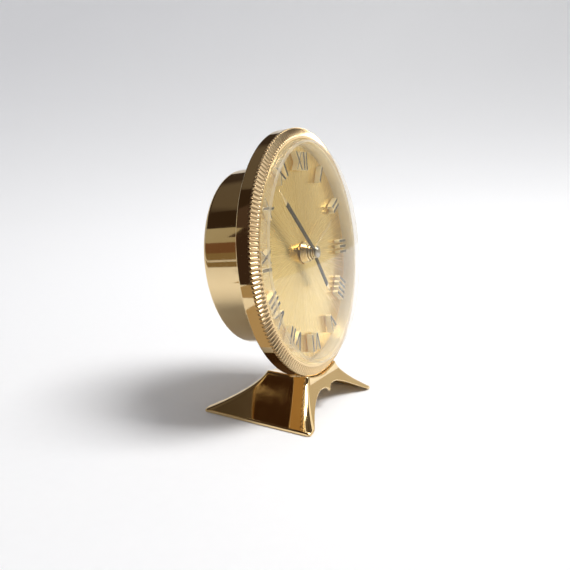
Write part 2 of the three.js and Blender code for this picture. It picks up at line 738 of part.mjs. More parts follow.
// ---------------------------------------------------------------- going train

const centreTeeth = [14, 14.6];
add('centre_arbor', rod(PIPES.arbor, MINUTE_HAND[0] - 0.1, ARBOR_END, 8), steel);
add('centre_wheel', cut(
  joined(plate(gearShape(CENTRE_WHEEL.teeth, CENTRE_WHEEL.radius), ...centreTeeth),
    plate(gearShape(CENTRE_PINION.teeth, CENTRE_PINION.radius, centrePinionPhase), 12, 14.3)),
  rod(PIPES.arbor + GAP, ...THROUGH, 8),
), movementBrass);

const thirdPhase = meshing(CENTRE_WHEEL.teeth, 0, clockAngle(CENTRE, THIRD), THIRD_PINION.teeth);
add('third_wheel', joined(
  plate(gearShape(THIRD_PINION.teeth, THIRD_PINION.radius, thirdPhase), 13.7, 14.9),
  plate(gearShape(THIRD_WHEEL.teeth, THIRD_WHEEL.radius), 9, 9.5),
  arborWithPivots(0.4),
), movementBrass, THIRD);

const fourthPhase = meshing(THIRD_WHEEL.teeth, 0, clockAngle(THIRD, FOURTH), FOURTH_PINION.teeth);
add('fourth_wheel', joined(
  plate(gearShape(FOURTH_PINION.teeth, FOURTH_PINION.radius, fourthPhase), 8.7, 9.8),
  plate(gearShape(FOURTH_WHEEL.teeth, FOURTH_WHEEL.radius), 10.6, 11.1),
  arborWithPivots(0.4),
), movementBrass, FOURTH);

// Pointed teeth that lean in the direction of turning.
function ratchetShape(teeth, outer, depth) {
  const pitch = 2 * Math.PI / teeth;
  const points = [];
  for (let k = 0; k < teeth; k++) {
    points.push(towards(outer - depth, (k - 0.35) * pitch));
    points.push(towards(outer, k * pitch));
  }
  return polygon(points);
}

const escapeLayer = [12.4, 12.8];
const escapePhase = meshing(FOURTH_WHEEL.teeth, 0, clockAngle(FOURTH, ESCAPE), ESCAPE_PINION.teeth);
add('escape_wheel', joined(
  plate(gearShape(ESCAPE_PINION.teeth, ESCAPE_PINION.radius, escapePhase), 10.3, 11.4),
  plate(ratchetShape(15, ESCAPE_RADIUS, 0.9), ...escapeLayer),
  arborWithPivots(0.3),
), movementBrass, ESCAPE);

function arm(length, width) {
  return polygon([[-width / 2, 0], [width / 2, 0], [width / 2, length], [-width / 2, length]]);
}

// The lever points at the balance; its two pallets look back at the escape wheel.
add('pallet_fork', joined(
  plate(arm(3.9, 0.6), ...escapeLayer),
  plate(arm(1.1, 0.5), ...escapeLayer).rotateY(Math.PI - degrees(50)),
  plate(arm(1.1, 0.5), ...escapeLayer).rotateY(Math.PI + degrees(50)),
  arborWithPivots(0.35),
), steel, FORK, clockAngle(FORK, BALANCE));

const BALANCE_RIM = [4.4, 5.3];
const balanceLayer = [13.4, 14.2];
add('balance_wheel', joined(
  ring(...BALANCE_RIM, ...balanceLayer, 24),
  plate(arm(2 * BALANCE_RIM[0] + 0.6, 1), ...balanceLayer).translate(0, 0, -BALANCE_RIM[0] - 0.3),
  arborWithPivots(0.4, FRONT_PLATE[1] + GAP, 17.6),
), movementBrass, BALANCE, degrees(25));

add('hairspring', plate(spiral(1.1, 4.4, 3, 0.16, 12, degrees(-60)), 15, 15.4), springSteel, BALANCE);

// The cock bridges the window over the balance and carries the regulator's boss.
const cockLayer = [18.3, 19.1];
const cockBase = clockAngle(BALANCE, CENTRE);
const cockLength = 9.5;
const cockShape = polygon([[-1.6, -2], [1.6, -2], [2.6, cockLength], [-2.6, cockLength]]);
add('balance_cock', cut(
  joined(plate(cockShape, ...cockLayer), rod(2, ...cockLayer, 16), rod(0.9, cockLayer[0], 20, 12)),
  rod(PIVOT_HOLE, 18, 18.9, 8),
), movementBrass, BALANCE, cockBase);

const regulatorLayer = [19.4, 19.9];
add('regulator', cut(
  joined(
    rod(2, ...regulatorLayer, 16),
    plate(arm(REGULATOR_REACH + 0.6, 1), ...regulatorLayer),
    rod(0.4, regulatorLayer[0], 22.4, 8).translate(0, 0, REGULATOR_REACH),
  ),
  rod(1.25, 19, 21, 12),
), steel, BALANCE);

// ---------------------------------------------------------------- alarm train

add('alarm_escape_wheel', joined(
  plate(gearShape(ALARM_ESCAPE_PINION.teeth, ALARM_ESCAPE_PINION.radius, alarmPhase), 12, 13.5),
  plate(ratchetShape(13, 4, 1), 14, 14.5),
  arborWithPivots(0.4),
), movementBrass, ALARM_ESCAPE);

// A rocking lever: pallets by the alarm escape wheel, a long arm and a round head by the drum wall.
const hammerHead = [21.6, -2.6];
const hammerAngle = clockAngle(HAMMER, hammerHead);
const hammerLength = Math.hypot(hammerHead[0] - HAMMER[0], hammerHead[1] - HAMMER[1]);
add('alarm_hammer', joined(
  plate(arm(hammerLength, 0.8), 15.2, 15.8),
  rod(1.5, 13.6, 16.4, 14).translate(0, 0, hammerLength),
  arborWithPivots(0.4),
), steel, HAMMER, hammerAngle);

const BUTTON_TRAVEL = 1.2;
const buttonTip = REAR_PLATE[1] + GAP + BUTTON_TRAVEL;
add('alarm_stop_button', turned([
  [0, buttonTip], [1, buttonTip], [1, COVER_FACE + BUTTON_TRAVEL + GAP],
  [2.4, COVER_FACE + BUTTON_TRAVEL + GAP], [2.4, 24.4], [2, 24.9], [0, 25.1],
], 12), polishedBrass, STOP_BUTTON);

// ---------------------------------------------------------------- place on the table

// The origin is on the table, in the middle of the object's length and width.
object.updateMatrixWorld(true);
const middle = new THREE.Box3().setFromObject(object, true).getCenter(new THREE.Vector3());
for (const part of object.children) part.position.y -= middle.y;

export default object;
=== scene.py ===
"""The travel alarm clock's looks: fine turned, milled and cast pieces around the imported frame.

Pieces are drawn in the clock's own frame, in millimetres: X to the right, Y along the hands' axis
towards the back with 0 at the bezel's front edge, Z up the leaning case.
"""

import json
import math

import bpy
import numpy as np
from mathutils import Matrix, Vector
from mathutils.geometry import tessellate_polygon


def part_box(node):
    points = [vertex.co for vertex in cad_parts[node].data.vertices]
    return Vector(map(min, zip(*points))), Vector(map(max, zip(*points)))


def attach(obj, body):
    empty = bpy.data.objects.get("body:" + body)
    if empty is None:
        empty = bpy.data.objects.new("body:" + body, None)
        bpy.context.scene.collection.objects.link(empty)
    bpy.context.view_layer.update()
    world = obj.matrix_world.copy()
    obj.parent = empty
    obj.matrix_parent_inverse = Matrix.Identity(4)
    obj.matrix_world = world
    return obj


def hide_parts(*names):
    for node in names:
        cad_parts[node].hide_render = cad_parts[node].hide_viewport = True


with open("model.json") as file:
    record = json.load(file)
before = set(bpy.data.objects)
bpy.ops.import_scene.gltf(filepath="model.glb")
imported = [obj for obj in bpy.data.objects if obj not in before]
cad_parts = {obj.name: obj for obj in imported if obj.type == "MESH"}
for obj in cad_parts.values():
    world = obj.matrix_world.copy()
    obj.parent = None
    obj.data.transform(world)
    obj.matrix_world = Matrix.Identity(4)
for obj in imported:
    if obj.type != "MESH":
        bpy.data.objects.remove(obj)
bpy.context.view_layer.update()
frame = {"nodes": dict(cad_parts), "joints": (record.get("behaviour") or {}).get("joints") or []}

MM = 0.001
JOINTS = {joint["name"]: joint for joint in frame["joints"]}

# ---- camera

CAMERA_PLACE = Vector((-0.1824, -0.0863, 0.0715))
CAMERA_TARGET = Vector((-0.00333, 0.00094, 0.03757))
CAMERA_ROLL = math.radians(3.23)
CAMERA_LENS = 40.8
SENSOR = 36


def make_camera():
    """The camera at the rest view's place, rolled a little about its line of sight."""
    data = bpy.data.cameras.new("camera")
    data.lens = CAMERA_LENS
    data.sensor_width = SENSOR
    data.clip_start = 0.005
    camera = bpy.data.objects.new("camera", data)
    bpy.context.scene.collection.objects.link(camera)
    forward = (CAMERA_TARGET - CAMERA_PLACE).normalized()
    right = forward.cross(Vector((0, 0, 1))).normalized()
    up = right.cross(forward)
    across = right * math.cos(CAMERA_ROLL) + up * math.sin(CAMERA_ROLL)
    upwards = up * math.cos(CAMERA_ROLL) - right * math.sin(CAMERA_ROLL)
    turn = Matrix((across, upwards, -forward)).transposed().to_4x4()
    camera.matrix_world = Matrix.Translation(CAMERA_PLACE) @ turn
    bpy.context.scene.camera = camera


make_camera()
bpy.context.scene.view_settings.view_transform = "Standard"

# ---- the clock's own frame

HANDS_AXIS = Vector(JOINTS["minute_turn"]["axis"])
HANDS_PLACE = Vector(JOINTS["minute_turn"]["pos_m"])
TILT = math.atan2(-HANDS_AXIS.z, HANDS_AXIS.y)


def seat(place):
    """The clock's frame moved to a place, with millimetres turned into metres."""
    return Matrix.Translation(place) @ Matrix.Rotation(-TILT, 4, "X") @ Matrix.Scale(MM, 4)


CLOCK = seat(HANDS_PLACE)


def joint_place(name):
    """A joint's place in the clock's frame: (x, y, z) in millimetres."""
    return CLOCK.inverted() @ Vector(JOINTS[name]["pos_m"])


def span(node):
    """Lowest and highest corner of a CAD node in the clock's frame, in millimetres."""
    back = CLOCK.inverted()
    places = np.array([back @ vertex.co for vertex in frame["nodes"][node].data.vertices])
    return places.min(0), places.max(0)


# ---- mesh helpers


def add_piece(name, shape, materials, body="case", stands_for=(), place=CLOCK,
              flat=True):
    """A mesh made of (points, faces, face materials), placed and riding on its body."""
    points, faces, kinds = shape
    mesh = bpy.data.meshes.new(name)
    mesh.from_pydata([place @ Vector(point) for point in points], [], faces)
    for material in materials:
        mesh.materials.append(material)
    mesh.polygons.foreach_set("material_index", kinds)
    mesh.polygons.foreach_set("use_smooth", [True] * len(faces))
    mesh.update()
    piece = bpy.data.objects.new(name, mesh)
    bpy.context.scene.collection.objects.link(piece)
    if flat:
        weighted = piece.modifiers.new("flat faces stay flat", "WEIGHTED_NORMAL")
        weighted.weight = 50
    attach(piece, body)
    if stands_for:
        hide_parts(*stands_for)
    return piece


def merged(*shapes):
    """Several shapes in one mesh."""
    points, faces, kinds = [], [], []
    for more_points, more_faces, more_kinds in shapes:
        start = len(points)
        points += more_points
        faces += [tuple(corner + start for corner in face) for face in more_faces]
        kinds += more_kinds
    return points, faces, kinds


def moved(shape, x=0.0, y=0.0, z=0.0, turn=0.0):
    """A shape turned clockwise as seen from the front, then shifted."""
    c, s = math.cos(turn), math.sin(turn)
    points = [(px * c + pz * s + x, py + y, pz * c - px * s + z) for px, py, pz in shape[0]]
    return points, shape[1], shape[2]


def painted(shape, kind):
    """A shape with all its faces of one material."""
    return shape[0], shape[1], [kind] * len(shape[1])


def rounded(corners, closed=False, steps=4):
    """Corners (radius, y, fillet) of a profile as points, each corner rounded by its fillet."""
    count = len(corners)
    points = []
    for k, (r, y, fillet) in enumerate(corners):
        here = Vector((r, y))
        at_end = not closed and k in (0, count - 1)
        if fillet <= 0 or at_end:
            points.append((r, y))
            continue
        before = Vector(corners[k - 1][:2]) - here
        after = Vector(corners[(k + 1) % count][:2]) - here
        reach = min(fillet, 0.49 * before.length, 0.49 * after.length)
        start = here + before.normalized() * reach
        end = here + after.normalized() * reach
        for j in range(steps + 1):
            t = j / steps
            point = start * (1 - t) ** 2 + here * 2 * t * (1 - t) + end * t * t
            points.append((point.x, point.y))
    return points


def lathe(profile, columns=160, closed=False):
    """A profile of (radius, y) turned about the Y axis; a radius of 0 makes one pole."""
    points, rows = [], []
    for r, y in profile:
        if r < 1e-6:
            rows.append([len(points)] * columns)
            points.append((0.0, y, 0.0))
            continue
        rows.append(list(range(len(points), len(points) + columns)))
        for k in range(columns):
            angle = 2 * math.pi * k / columns
            points.append((r * math.sin(angle), y, r * math.cos(angle)))
    return points, *skinned(rows, closed)


def skinned(rows, closed):
    """Quads between neighbouring rows of points that close on themselves."""
    columns = len(rows[0])
    faces = []
    pairs = list(zip(rows, rows[1:])) + ([(rows[-1], rows[0])] if closed else [])
    for near, far in pairs:
        for k in range(columns):
            after = (k + 1) % columns
            face = (near[k], near[after], far[after], far[k])
            kept = tuple(dict.fromkeys(face))
            if len(kept) > 2:
                faces.append(kept)
    return faces, [0] * len(faces)


def milled(profile, teeth):
    """A turned profile of (radius, y, inwards, backwards): V grooves move each point by its last two."""
    steps = 6
    columns = teeth * steps
    points, rows = [], []
    for r, y, inwards, backwards in profile:
        rows.append(list(range(len(points), len(points) + columns)))
        for k in range(columns):
            angle = 2 * math.pi * k / columns
            depth = 1 - abs(2 * (k % steps) / steps - 1)
            radius = r - inwards * depth
            points.append((radius * math.sin(angle), y + backwards * depth, radius * math.cos(angle)))
    return points, *skinned(rows, True)


def area(outline):
    """Signed area: positive where the corners run anticlockwise."""
    return sum(a[0] * b[1] - b[0] * a[1] for a, b in zip(outline, outline[1:] + outline[:1])) / 2


def inset(outline, distance):
    """The outline with each corner moved into the material, mitred."""
    moved_points = []
    for k, here in enumerate(outline):
        before, after = outline[k - 1], outline[(k + 1) % len(outline)]
        one = Vector((here[0] - before[0], here[1] - before[1])).normalized()
        two = Vector((after[0] - here[0], after[1] - here[1])).normalized()
        normals = Vector((-one.y, one.x)) + Vector((-two.y, two.x))
        share = max(normals.length_squared / 2, 0.3)
        moved_points.append((here[0] + normals.x * distance / share, here[1] + normals.y * distance / share))
    return moved_points


def plate(outlines, front, back, edge=0.08, front_kind=0):
    """A flat plate between two Y, its first outline outside and any others holes, with rounded edges."""
    loops = []
    for number, outline in enumerate(outlines):
        forwards = (area(outline) > 0) == (number == 0)
        loops.append(outline if forwards else outline[::-1])
    levels = [(back, edge), (back - 0.3 * edge, 0.3 * edge), (back - edge, 0)]
    levels += [(front + edge, 0), (front + 0.3 * edge, 0.3 * edge), (front, edge)]
    points, faces, kinds, ends = [], [], [], ([], [])
    for loop in loops:
        rows = []
        for y, distance in levels:
            rows.append(list(range(len(points), len(points) + len(loop))))
            points += [(x, y, z) for x, z in inset(loop, distance)]
        sides, side_kinds = skinned(rows, False)
        faces += sides
        kinds += side_kinds
        ends[0].append(rows[0])
        ends[1].append(rows[-1])
    for end, kind in zip(ends, (0, front_kind)):
        flat = [index for row in end for index in row]
        loops_3d = [[Vector((points[index][0], points[index][2], 0)) for index in row] for row in end]
        triangles = [tuple(flat[corner] for corner in face) for face in tessellate_polygon(loops_3d)]
        for face in triangles:
            a, b, c = (points[corner] for corner in face)
            turned_left = (b[0] - a[0]) * (c[2] - a[2]) - (b[2] - a[2]) * (c[0] - a[0]) > 0
            faces.append(face if turned_left == (end is ends[1]) else face[::-1])
            kinds.append(kind)
    return points, faces, kinds


def circle(radius, centre=(0, 0), count=48):
    """A round outline."""
    angles = [2 * math.pi * k / count for k in range(count)]
    return [(centre[0] + radius * math.cos(a), centre[1] + radius * math.sin(a)) for a in angles]


def mirrored(half):
    """A closed outline from its right half, listed from the bottom to the top."""
    return half + [(-x, z) for x, z in half[::-1] if x > 0]


def curve(start, bend, end, steps=8):
    """Points of a quadratic curve, without its first one."""
    a, b, c = Vector(start), Vector(bend), Vector(end)
    found = []
    for k in range(1, steps + 1):
        t = k / steps
        point = a * (1 - t) ** 2 + b * 2 * t * (1 - t) + c * t * t
        found.append((point.x, point.y))
    return found


# ---- material helpers


class Surface:
    """A node material with its main shader and short ways to add nodes."""

    def __init__(self, name):
        self.material = bpy.data.materials.new(name)
        self.material.use_nodes = True
        self.tree = self.material.node_tree
        self.shader = self.tree.nodes["Principled BSDF"]

    def add(self, kind, inputs=(), output=0, **settings):
        """Adds a node; an input that is a socket is linked, and any other is set."""
        made = self.tree.nodes.new("ShaderNode" + kind)
        for key, value in settings.items():
            setattr(made, key, value)
        for key, value in dict(inputs).items():
            self.feed(made.inputs[key], value)
        return made.outputs[output]

    def feed(self, socket, value):
        """Links a socket to a node's output, or sets it to a plain value."""
        if isinstance(value, bpy.types.NodeSocket):
            self.tree.links.new(value, socket)
        else:
            socket.default_value = value

    def set(self, **inputs):
        """Feeds the main shader's inputs, named in lower case with underscores."""
        for key, value in inputs.items():
            name = key.replace("_", " ").title().replace("Ior", "IOR")
            self.feed(self.shader.inputs[name], value)

    def math(self, operation, *values):
        return self.add("Math", enumerate(values), operation=operation)

    def times(self, one, two):
        return self.math("MULTIPLY", one, two)

    def place(self):
        """The surface point in the clock's frame, in millimetres."""
        return self.add("Mapping", {
            "Vector": self.add("TexCoord", output="Object"), "Location": HANDS_PLACE,
            "Rotation": (-TILT, 0, 0), "Scale": (MM, MM, MM),
        }, vector_type="TEXTURE")

    def round_place(self, place):
        """Radius, clock angle in radians and y of a place."""
        x, y, z = (self.add("SeparateXYZ", {0: place}, output=k) for k in range(3))
        radius = self.math("SQRT", self.math("ADD", self.times(x, x), self.times(z, z)))
        return radius, self.math("ARCTAN2", x, z), y

    def noise(self, place, scale, detail=3.0, stretch=(1, 1, 1)):
        stretched = self.add("Mapping", {"Vector": place, "Scale": stretch})
        return self.add("TexNoise", {"Vector": stretched, "Scale": scale, "Detail": detail})

    def ramp(self, value, low, high, low_to=0.0, high_to=1.0):
        return self.add("MapRange", {
            "Value": value, "From Min": low, "From Max": high, "To Min": low_to, "To Max": high_to})

    def mix(self, share, one, two):
        made = self.tree.nodes.new("ShaderNodeMix")
        made.data_type = "RGBA"
        sockets = [s for s in made.inputs if s.name in ("A", "B") and s.type == "RGBA"]
        self.feed(made.inputs[0], share)
        self.feed(sockets[0], one)
        self.feed(sockets[1], two)
        return next(s for s in made.outputs if s.type == "RGBA")

    def bump(self, height, strength, distance=0.00005):
        return self.add("Bump", {"Height": height, "Strength": strength, "Distance": distance})


def colour(red, green, blue):
    return (red, green, blue, 1.0)


BRASS = colour(0.84, 0.645, 0.36)
BRASS_DEEP = colour(0.70, 0.48, 0.22)


def polished_brass(name, shade=BRASS, deep=BRASS_DEEP, roughness=0.045,
                   hairlines=0.3, pits=False, waviness=0.25, grooves=0):
    """Buffed and lacquered brass with tone drift, hairlines and soft waviness; pits, or painted shade in the
    bottoms of milled grooves, if asked.
    """
    s = Surface(name)
    place = s.place()
    drift = s.ramp(s.noise(place, 0.07, 4.0), 0.35, 0.75, 0.0, 0.45)
    tone = s.mix(drift, shade, deep)
    hair = s.ramp(s.noise(place, 1.0, 2.0, (0.35, 9.0, 0.35)), 0.60, 0.75)
    smudge = s.ramp(s.noise(place, 0.35, 5.0), 0.45, 0.8)
    rough = s.math("ADD", roughness, s.times(hair, 0.09 * hairlines))
    rough = s.math("ADD", rough, s.times(smudge, 0.05))
    waves = s.times(s.noise(place, 0.22, 1.0), waviness)
    height = s.math("ADD", waves, s.times(hair, -0.05))
    if pits:
        cells = s.add("TexVoronoi", {"Vector": place, "Scale": 0.24, "Randomness": 1.0}, output="Distance")
        chosen = s.ramp(s.noise(place, 0.06, 1.0), 0.56, 0.58)
        pit = s.times(s.ramp(cells, 0.085, 0.06), chosen)
        tone = s.mix(pit, tone, colour(0.06, 0.04, 0.02))
        rough = s.math("ADD", rough, s.times(pit, 0.4))
        height = s.math("SUBTRACT", height, pit)
    if grooves:
        # painted shade: the bottom of each milled groove is darkened towards dark brown and made rougher
        turns = s.times(s.round_place(place)[1], grooves / (2 * math.pi))
        groove_shade = s.ramp(s.math("PINGPONG", turns, 0.5), 0.2, 0.5)
        tone = s.mix(s.times(groove_shade, 0.85), tone, colour(0.16, 0.09, 0.035))
        rough = s.math("ADD", rough, s.times(groove_shade, 0.2))
    s.set(base_color=tone, metallic=1.0, roughness=rough, normal=s.bump(height, 0.25, 0.00004))
    return s.material


def sunburst_gilt(name):
    """The dial: champagne gilt brushed from the centre, so its sheen fans out in wedges."""
    s = Surface(name)
    place = s.place()
    _, angle, _ = s.round_place(place)
    rays = s.add("TexNoise", {"W": s.times(angle, 80.0), "Scale": 1.0, "Detail": 4.0},
                 noise_dimensions="1D")
    fans = s.add("TexNoise", {"W": s.times(angle, 3.0), "Scale": 1.0, "Detail": 2.0},
                 noise_dimensions="1D")
    tone = s.mix(s.ramp(fans, 0.3, 0.7, 0.0, 0.35), colour(0.86, 0.66, 0.26), colour(0.91, 0.74, 0.36))
    tone = s.mix(s.ramp(rays, 0.35, 0.75, 0.0, 0.16), tone, colour(0.66, 0.46, 0.15))
    grain = s.noise(place, 6.0, 2.0)
    rough = s.math("ADD", s.ramp(rays, 0.3, 0.7, 0.20, 0.27), s.times(grain, 0.04))
    point = s.add("TexCoord", output="Object")
    outwards = s.add("VectorMath", {0: point, 1: HANDS_PLACE}, operation="SUBTRACT")
    around = s.add("VectorMath", {0: HANDS_AXIS, 1: outwards}, operation="CROSS_PRODUCT")
    s.set(base_color=tone, metallic=1.0, roughness=rough, anisotropic=0.7,
          normal=s.bump(rays, 0.02, 0.00004), tangent=around)
    return s.material


def plain_metal(name, shade, deep, roughness=0.25, turned=True, grain_scale=5.0):
    """Turned or grained metal: fine rings or straight grain, with a little tone drift."""
    s = Surface(name)
    place = s.place()
    if turned:
        radius, _, y = s.round_place(place)
        line = s.math("ADD", s.times(radius, grain_scale), s.times(y, grain_scale))
        grain = s.add("TexNoise", {"W": line, "Scale": 1.0, "Detail": 3.0}, noise_dimensions="1D")
    else:
        grain = s.noise(place, 1.0, 3.0, (0.25 * grain_scale, grain_scale, 3.0 * grain_scale))
    tone = s.mix(s.ramp(s.noise(place, 0.15, 4.0), 0.3, 0.7), shade, deep)
    rough = s.ramp(grain, 0.25, 0.75, 0.75 * roughness, 1.3 * roughness)
    s.set(base_color=tone, metallic=1.0, roughness=rough, normal=s.bump(grain, 0.25, 0.00002))
    return s.material


def satin_gilt(name):
    """Pale gilt with a soft sheen, a little uneven along the cast walls."""
    s = Surface(name)
    place = s.place()
    uneven = s.noise(place, 0.9, 4.0)
    tone = s.mix(s.ramp(uneven, 0.3, 0.7), colour(1.0, 0.90, 0.62), colour(0.96, 0.82, 0.50))
    s.set(base_color=tone, metallic=0.25, roughness=s.ramp(uneven, 0.3, 0.7, 0.28, 0.4),
          normal=s.bump(s.noise(place, 4.0, 2.0), 0.15))
    return s.material


def lacquer(name):
    """Gloss black paint with a warm undertone, thin and slightly uneven."""
    s = Surface(name)
    place = s.place()
    uneven = s.noise(place, 1.2, 4.0)
    tone = s.mix(uneven, colour(0.012, 0.010, 0.009), colour(0.035, 0.027, 0.02))
    s.set(base_color=tone, roughness=s.ramp(uneven, 0.3, 0.7, 0.12, 0.22), specular_ior_level=0.3,
          normal=s.bump(s.noise(place, 3.0, 2.0), 0.12))
    return s.material


def acrylic(name, milk=0.0):
    """Thin acrylic without refraction: a mirror at a glance, with faint wipe marks and some milkiness."""
    s = Surface(name)
    place = s.place()
    wipes = s.ramp(s.noise(place, 0.8, 3.0, (3.0, 1.0, 0.3)), 0.62, 0.8)
    s.set(base_color=s.mix(wipes, colour(1.0, 0.95, 0.84), colour(0.96, 0.91, 0.82)), roughness=0.5)
    clear = s.add("BsdfTransparent", {"Color": colour(0.985, 0.98, 0.97)})
    smoothness = s.math("MULTIPLY_ADD", wipes, 0.05, 0.02)
    gloss = s.add("BsdfGlossy", {"Color": colour(1.0, 1.0, 1.0), "Roughness": smoothness})
    edge_on = s.add("LayerWeight", {"Blend": 0.5}, output="Facing")
    mirrored_share = s.math("MULTIPLY_ADD", s.math("POWER", edge_on, 4.0), 0.5, 0.02)
    glass = s.add("MixShader", {0: mirrored_share, 1: clear, 2: gloss})
    glow = s.add("BsdfTranslucent", {"Color": colour(1.0, 0.96, 0.88)})
    haze = s.add("MixShader", {0: 0.6, 1: s.shader.outputs["BSDF"], 2: glow})
    hazy = s.add("MixShader", {0: s.math("ADD", milk, s.times(wipes, 0.02)), 1: glass, 2: haze})
    s.feed(s.tree.nodes["Material Output"].inputs["Surface"], hazy)
    return s.material


def floor_with_painted_shade(name):
    """Matt white paper with a faint fibre and painted shade: a little greyer to the clock's left and where it
    climbs.
    """
    s = Surface(name)
    place = s.add("TexCoord", output="Object")
    fibre = s.noise(place, 300.0, 3.0)
    paper = s.mix(fibre, colour(0.91, 0.91, 0.92), colour(0.94, 0.94, 0.95))
    x, y, height = (s.add("SeparateXYZ", {0: place}, output=k) for k in range(3))
    # painted shade: the paper greys by place, more towards the clock's left and back and higher up the sweep
    away = s.math("MULTIPLY_ADD", s.math("SUBTRACT", y, x), 0.35, s.math("MULTIPLY_ADD", height, 0.6, 0.1))
    tone = s.mix(s.ramp(away, 0.0, 0.4), paper, colour(0.82, 0.82, 0.84))
    s.set(base_color=tone, roughness=0.9, normal=s.bump(fibre, 0.03, 0.0002))
    return s.material


TEETH = 180  # V grooves round the bezel
CASE_BRASS = polished_brass("polished brass, bezel")
DRUM_BRASS = polished_brass("polished brass, drum", hairlines=1.0, pits=True, waviness=0.5)
FOOT_BRASS = polished_brass("polished brass, cast foot", waviness=0.8, hairlines=0.5)
# milled bezel brass, with painted shade in its groove bottoms
MILLED_BRASS = polished_brass("polished brass, milled, painted groove shade", colour(0.82, 0.62, 0.36), colour(0.66, 0.44, 0.22),
                              0.2, grooves=TEETH)
GILT = polished_brass("gilt", colour(0.95, 0.82, 0.54), colour(0.90, 0.74, 0.42), 0.12)
DIAL_GILT = sunburst_gilt("sunburst gilt")
SATIN_GILT = satin_gilt("satin gilt, numerals")
BLACK = lacquer("black lacquer")
STEEL = plain_metal("turned steel", colour(0.60, 0.58, 0.54), colour(0.46, 0.44, 0.40), 0.16)
COVER_GILT = plain_metal("turned gilt cover", colour(0.86, 0.66, 0.36), colour(0.76, 0.54, 0.26), 0.24)
MOVEMENT = plain_metal("grained movement brass", colour(0.78, 0.60, 0.30), colour(0.64, 0.46, 0.20), 0.32,
                       turned=False)
SPRING = plain_metal("blued spring steel", colour(0.30, 0.34, 0.42), colour(0.42, 0.40, 0.40), 0.3,
                     grain_scale=9.0)
ACRYLIC = acrylic("clear acrylic")
ACRYLIC_EDGE = acrylic("polished acrylic edge", 0.4)
ACRYLIC_WALL = acrylic("acrylic wall", 0.2)

# ---- bezel, crystal, drum

BEZEL_LOW, BEZEL_HIGH = span("bezel")
CRYSTAL_LOW, CRYSTAL_HIGH = span("crystal")
DRUM_LOW, DRUM_HIGH = span("drum")
DIAL_LOW, DIAL_HIGH = span("dial")
BEZEL_RADIUS = BEZEL_HIGH[0] - 0.01
BEZEL_BACK = BEZEL_HIGH[1]
BEZEL_FRONT = BEZEL_LOW[1]
CRYSTAL_RADIUS = CRYSTAL_HIGH[0]
DRUM_RADIUS = DRUM_HIGH[0]
GAP = 0.3  # between neighbouring pieces, in millimetres
FINE = 192  # columns of the largest turned pieces
KNURLS = 40  # grooves round a setting knob


def make_bezel():
    """A smooth band, then V grooves milled across the sloping front, a plain rim and the crystal's seat."""
    inner_rim, groove_end = 35.2, 35.45
    groove_depth, groove_narrowing, groove_fade = 0.66, 0.16, 0.55
    corner, smooth_from = 0.12, 1.3
    seat_inner = CRYSTAL_RADIUS + 0.12
    flange_inner = DRUM_RADIUS + GAP
    flange_front = DIAL_HIGH[1] + GAP
    slope = -BEZEL_FRONT / (BEZEL_RADIUS - inner_rim)
    sloped = []
    for share in (0.0, 0.04, 0.1, 0.3, 0.5, 0.7, 0.85, 1.0):
        r = BEZEL_RADIUS - corner - (BEZEL_RADIUS - corner - groove_end) * share
        inwards, backwards = groove_narrowing * (1 - share), groove_depth * (1 - groove_fade * share)
        sloped.append((r, (r - BEZEL_RADIUS) * slope, inwards, backwards))
    band = [(r, y, 0, 0) for r, y in rounded([
        (inner_rim, BEZEL_FRONT, 0), (seat_inner + 0.12, BEZEL_FRONT, 0.12),
        (seat_inner, BEZEL_FRONT + 0.3, 0.1),
        (seat_inner, flange_front, 0.1), (flange_inner, flange_front, 0.1), (flange_inner, BEZEL_BACK, 0.1),
        (BEZEL_RADIUS - 0.75, BEZEL_BACK, 0.15), (BEZEL_RADIUS - 0.05, BEZEL_BACK - 0.42, 0.12),
        (BEZEL_RADIUS, BEZEL_BACK - 0.6, 0.1), (BEZEL_RADIUS, smooth_from, 0)])]
    edge = [(BEZEL_RADIUS, 1.0, 0, 0), (BEZEL_RADIUS, corner, 0, groove_depth),
            (BEZEL_RADIUS - 0.04, 0.03, 0.05, groove_depth)]
    shape = milled(band + edge + sloped, TEETH)
    ring = add_piece("bezel_ring", shape, [CASE_BRASS, MILLED_BRASS, SATIN_GILT], stands_for=["bezel"])
    back = CLOCK.inverted()
    for face in ring.data.polygons:
        place = back @ face.center
        radius = math.hypot(place.x, place.z)
        if place.y < 0.95 and radius > inner_rim:
            face.material_index = 1
        elif seat_inner - 0.1 < radius < seat_inner + 0.2:
            face.material_index = 2


def dome_profile(radius, apex, rim):
    """A parabola's profile from its apex out to just short of its rim, without fillets."""
    steps = 12
    return [(radius * k / steps, apex + (rim - apex) * (k / steps) ** 2, 0) for k in range(steps)]


def make_crystal():
    """A thick-edged dome: upright wall, a bright bevel, then a shallow crown."""
    wall = 1.2
    inner = CRYSTAL_RADIUS - wall
    edge, apex = -2.8, CRYSTAL_LOW[1]
    foot = CRYSTAL_HIGH[1]
    bevel_in = CRYSTAL_RADIUS - 0.75
    bevel_front = edge - 0.45
    inside_front = edge + 0.75
    outside = dome_profile(bevel_in, apex, bevel_front)
    inside = dome_profile(inner, apex + wall, inside_front)
    corners = outside + [
        (bevel_in, bevel_front, 0.12), (CRYSTAL_RADIUS, edge, 0.12), (CRYSTAL_RADIUS, foot, 0.08),
        (inner, foot, 0.08), (inner, inside_front, 0.3)] + inside[::-1]
    dome = add_piece("crystal_dome", lathe(rounded(corners), FINE), [ACRYLIC, ACRYLIC_EDGE, ACRYLIC_WALL],
                     stands_for=["crystal"])
    back = CLOCK.inverted()
    for face in dome.data.polygons:
        place = back @ face.center
        radius = math.hypot(place.x, place.z)
        if radius > inner - 0.05:
            face.material_index = 1 if radius > bevel_in + 0.35 and place.y < edge + 0.1 else 2


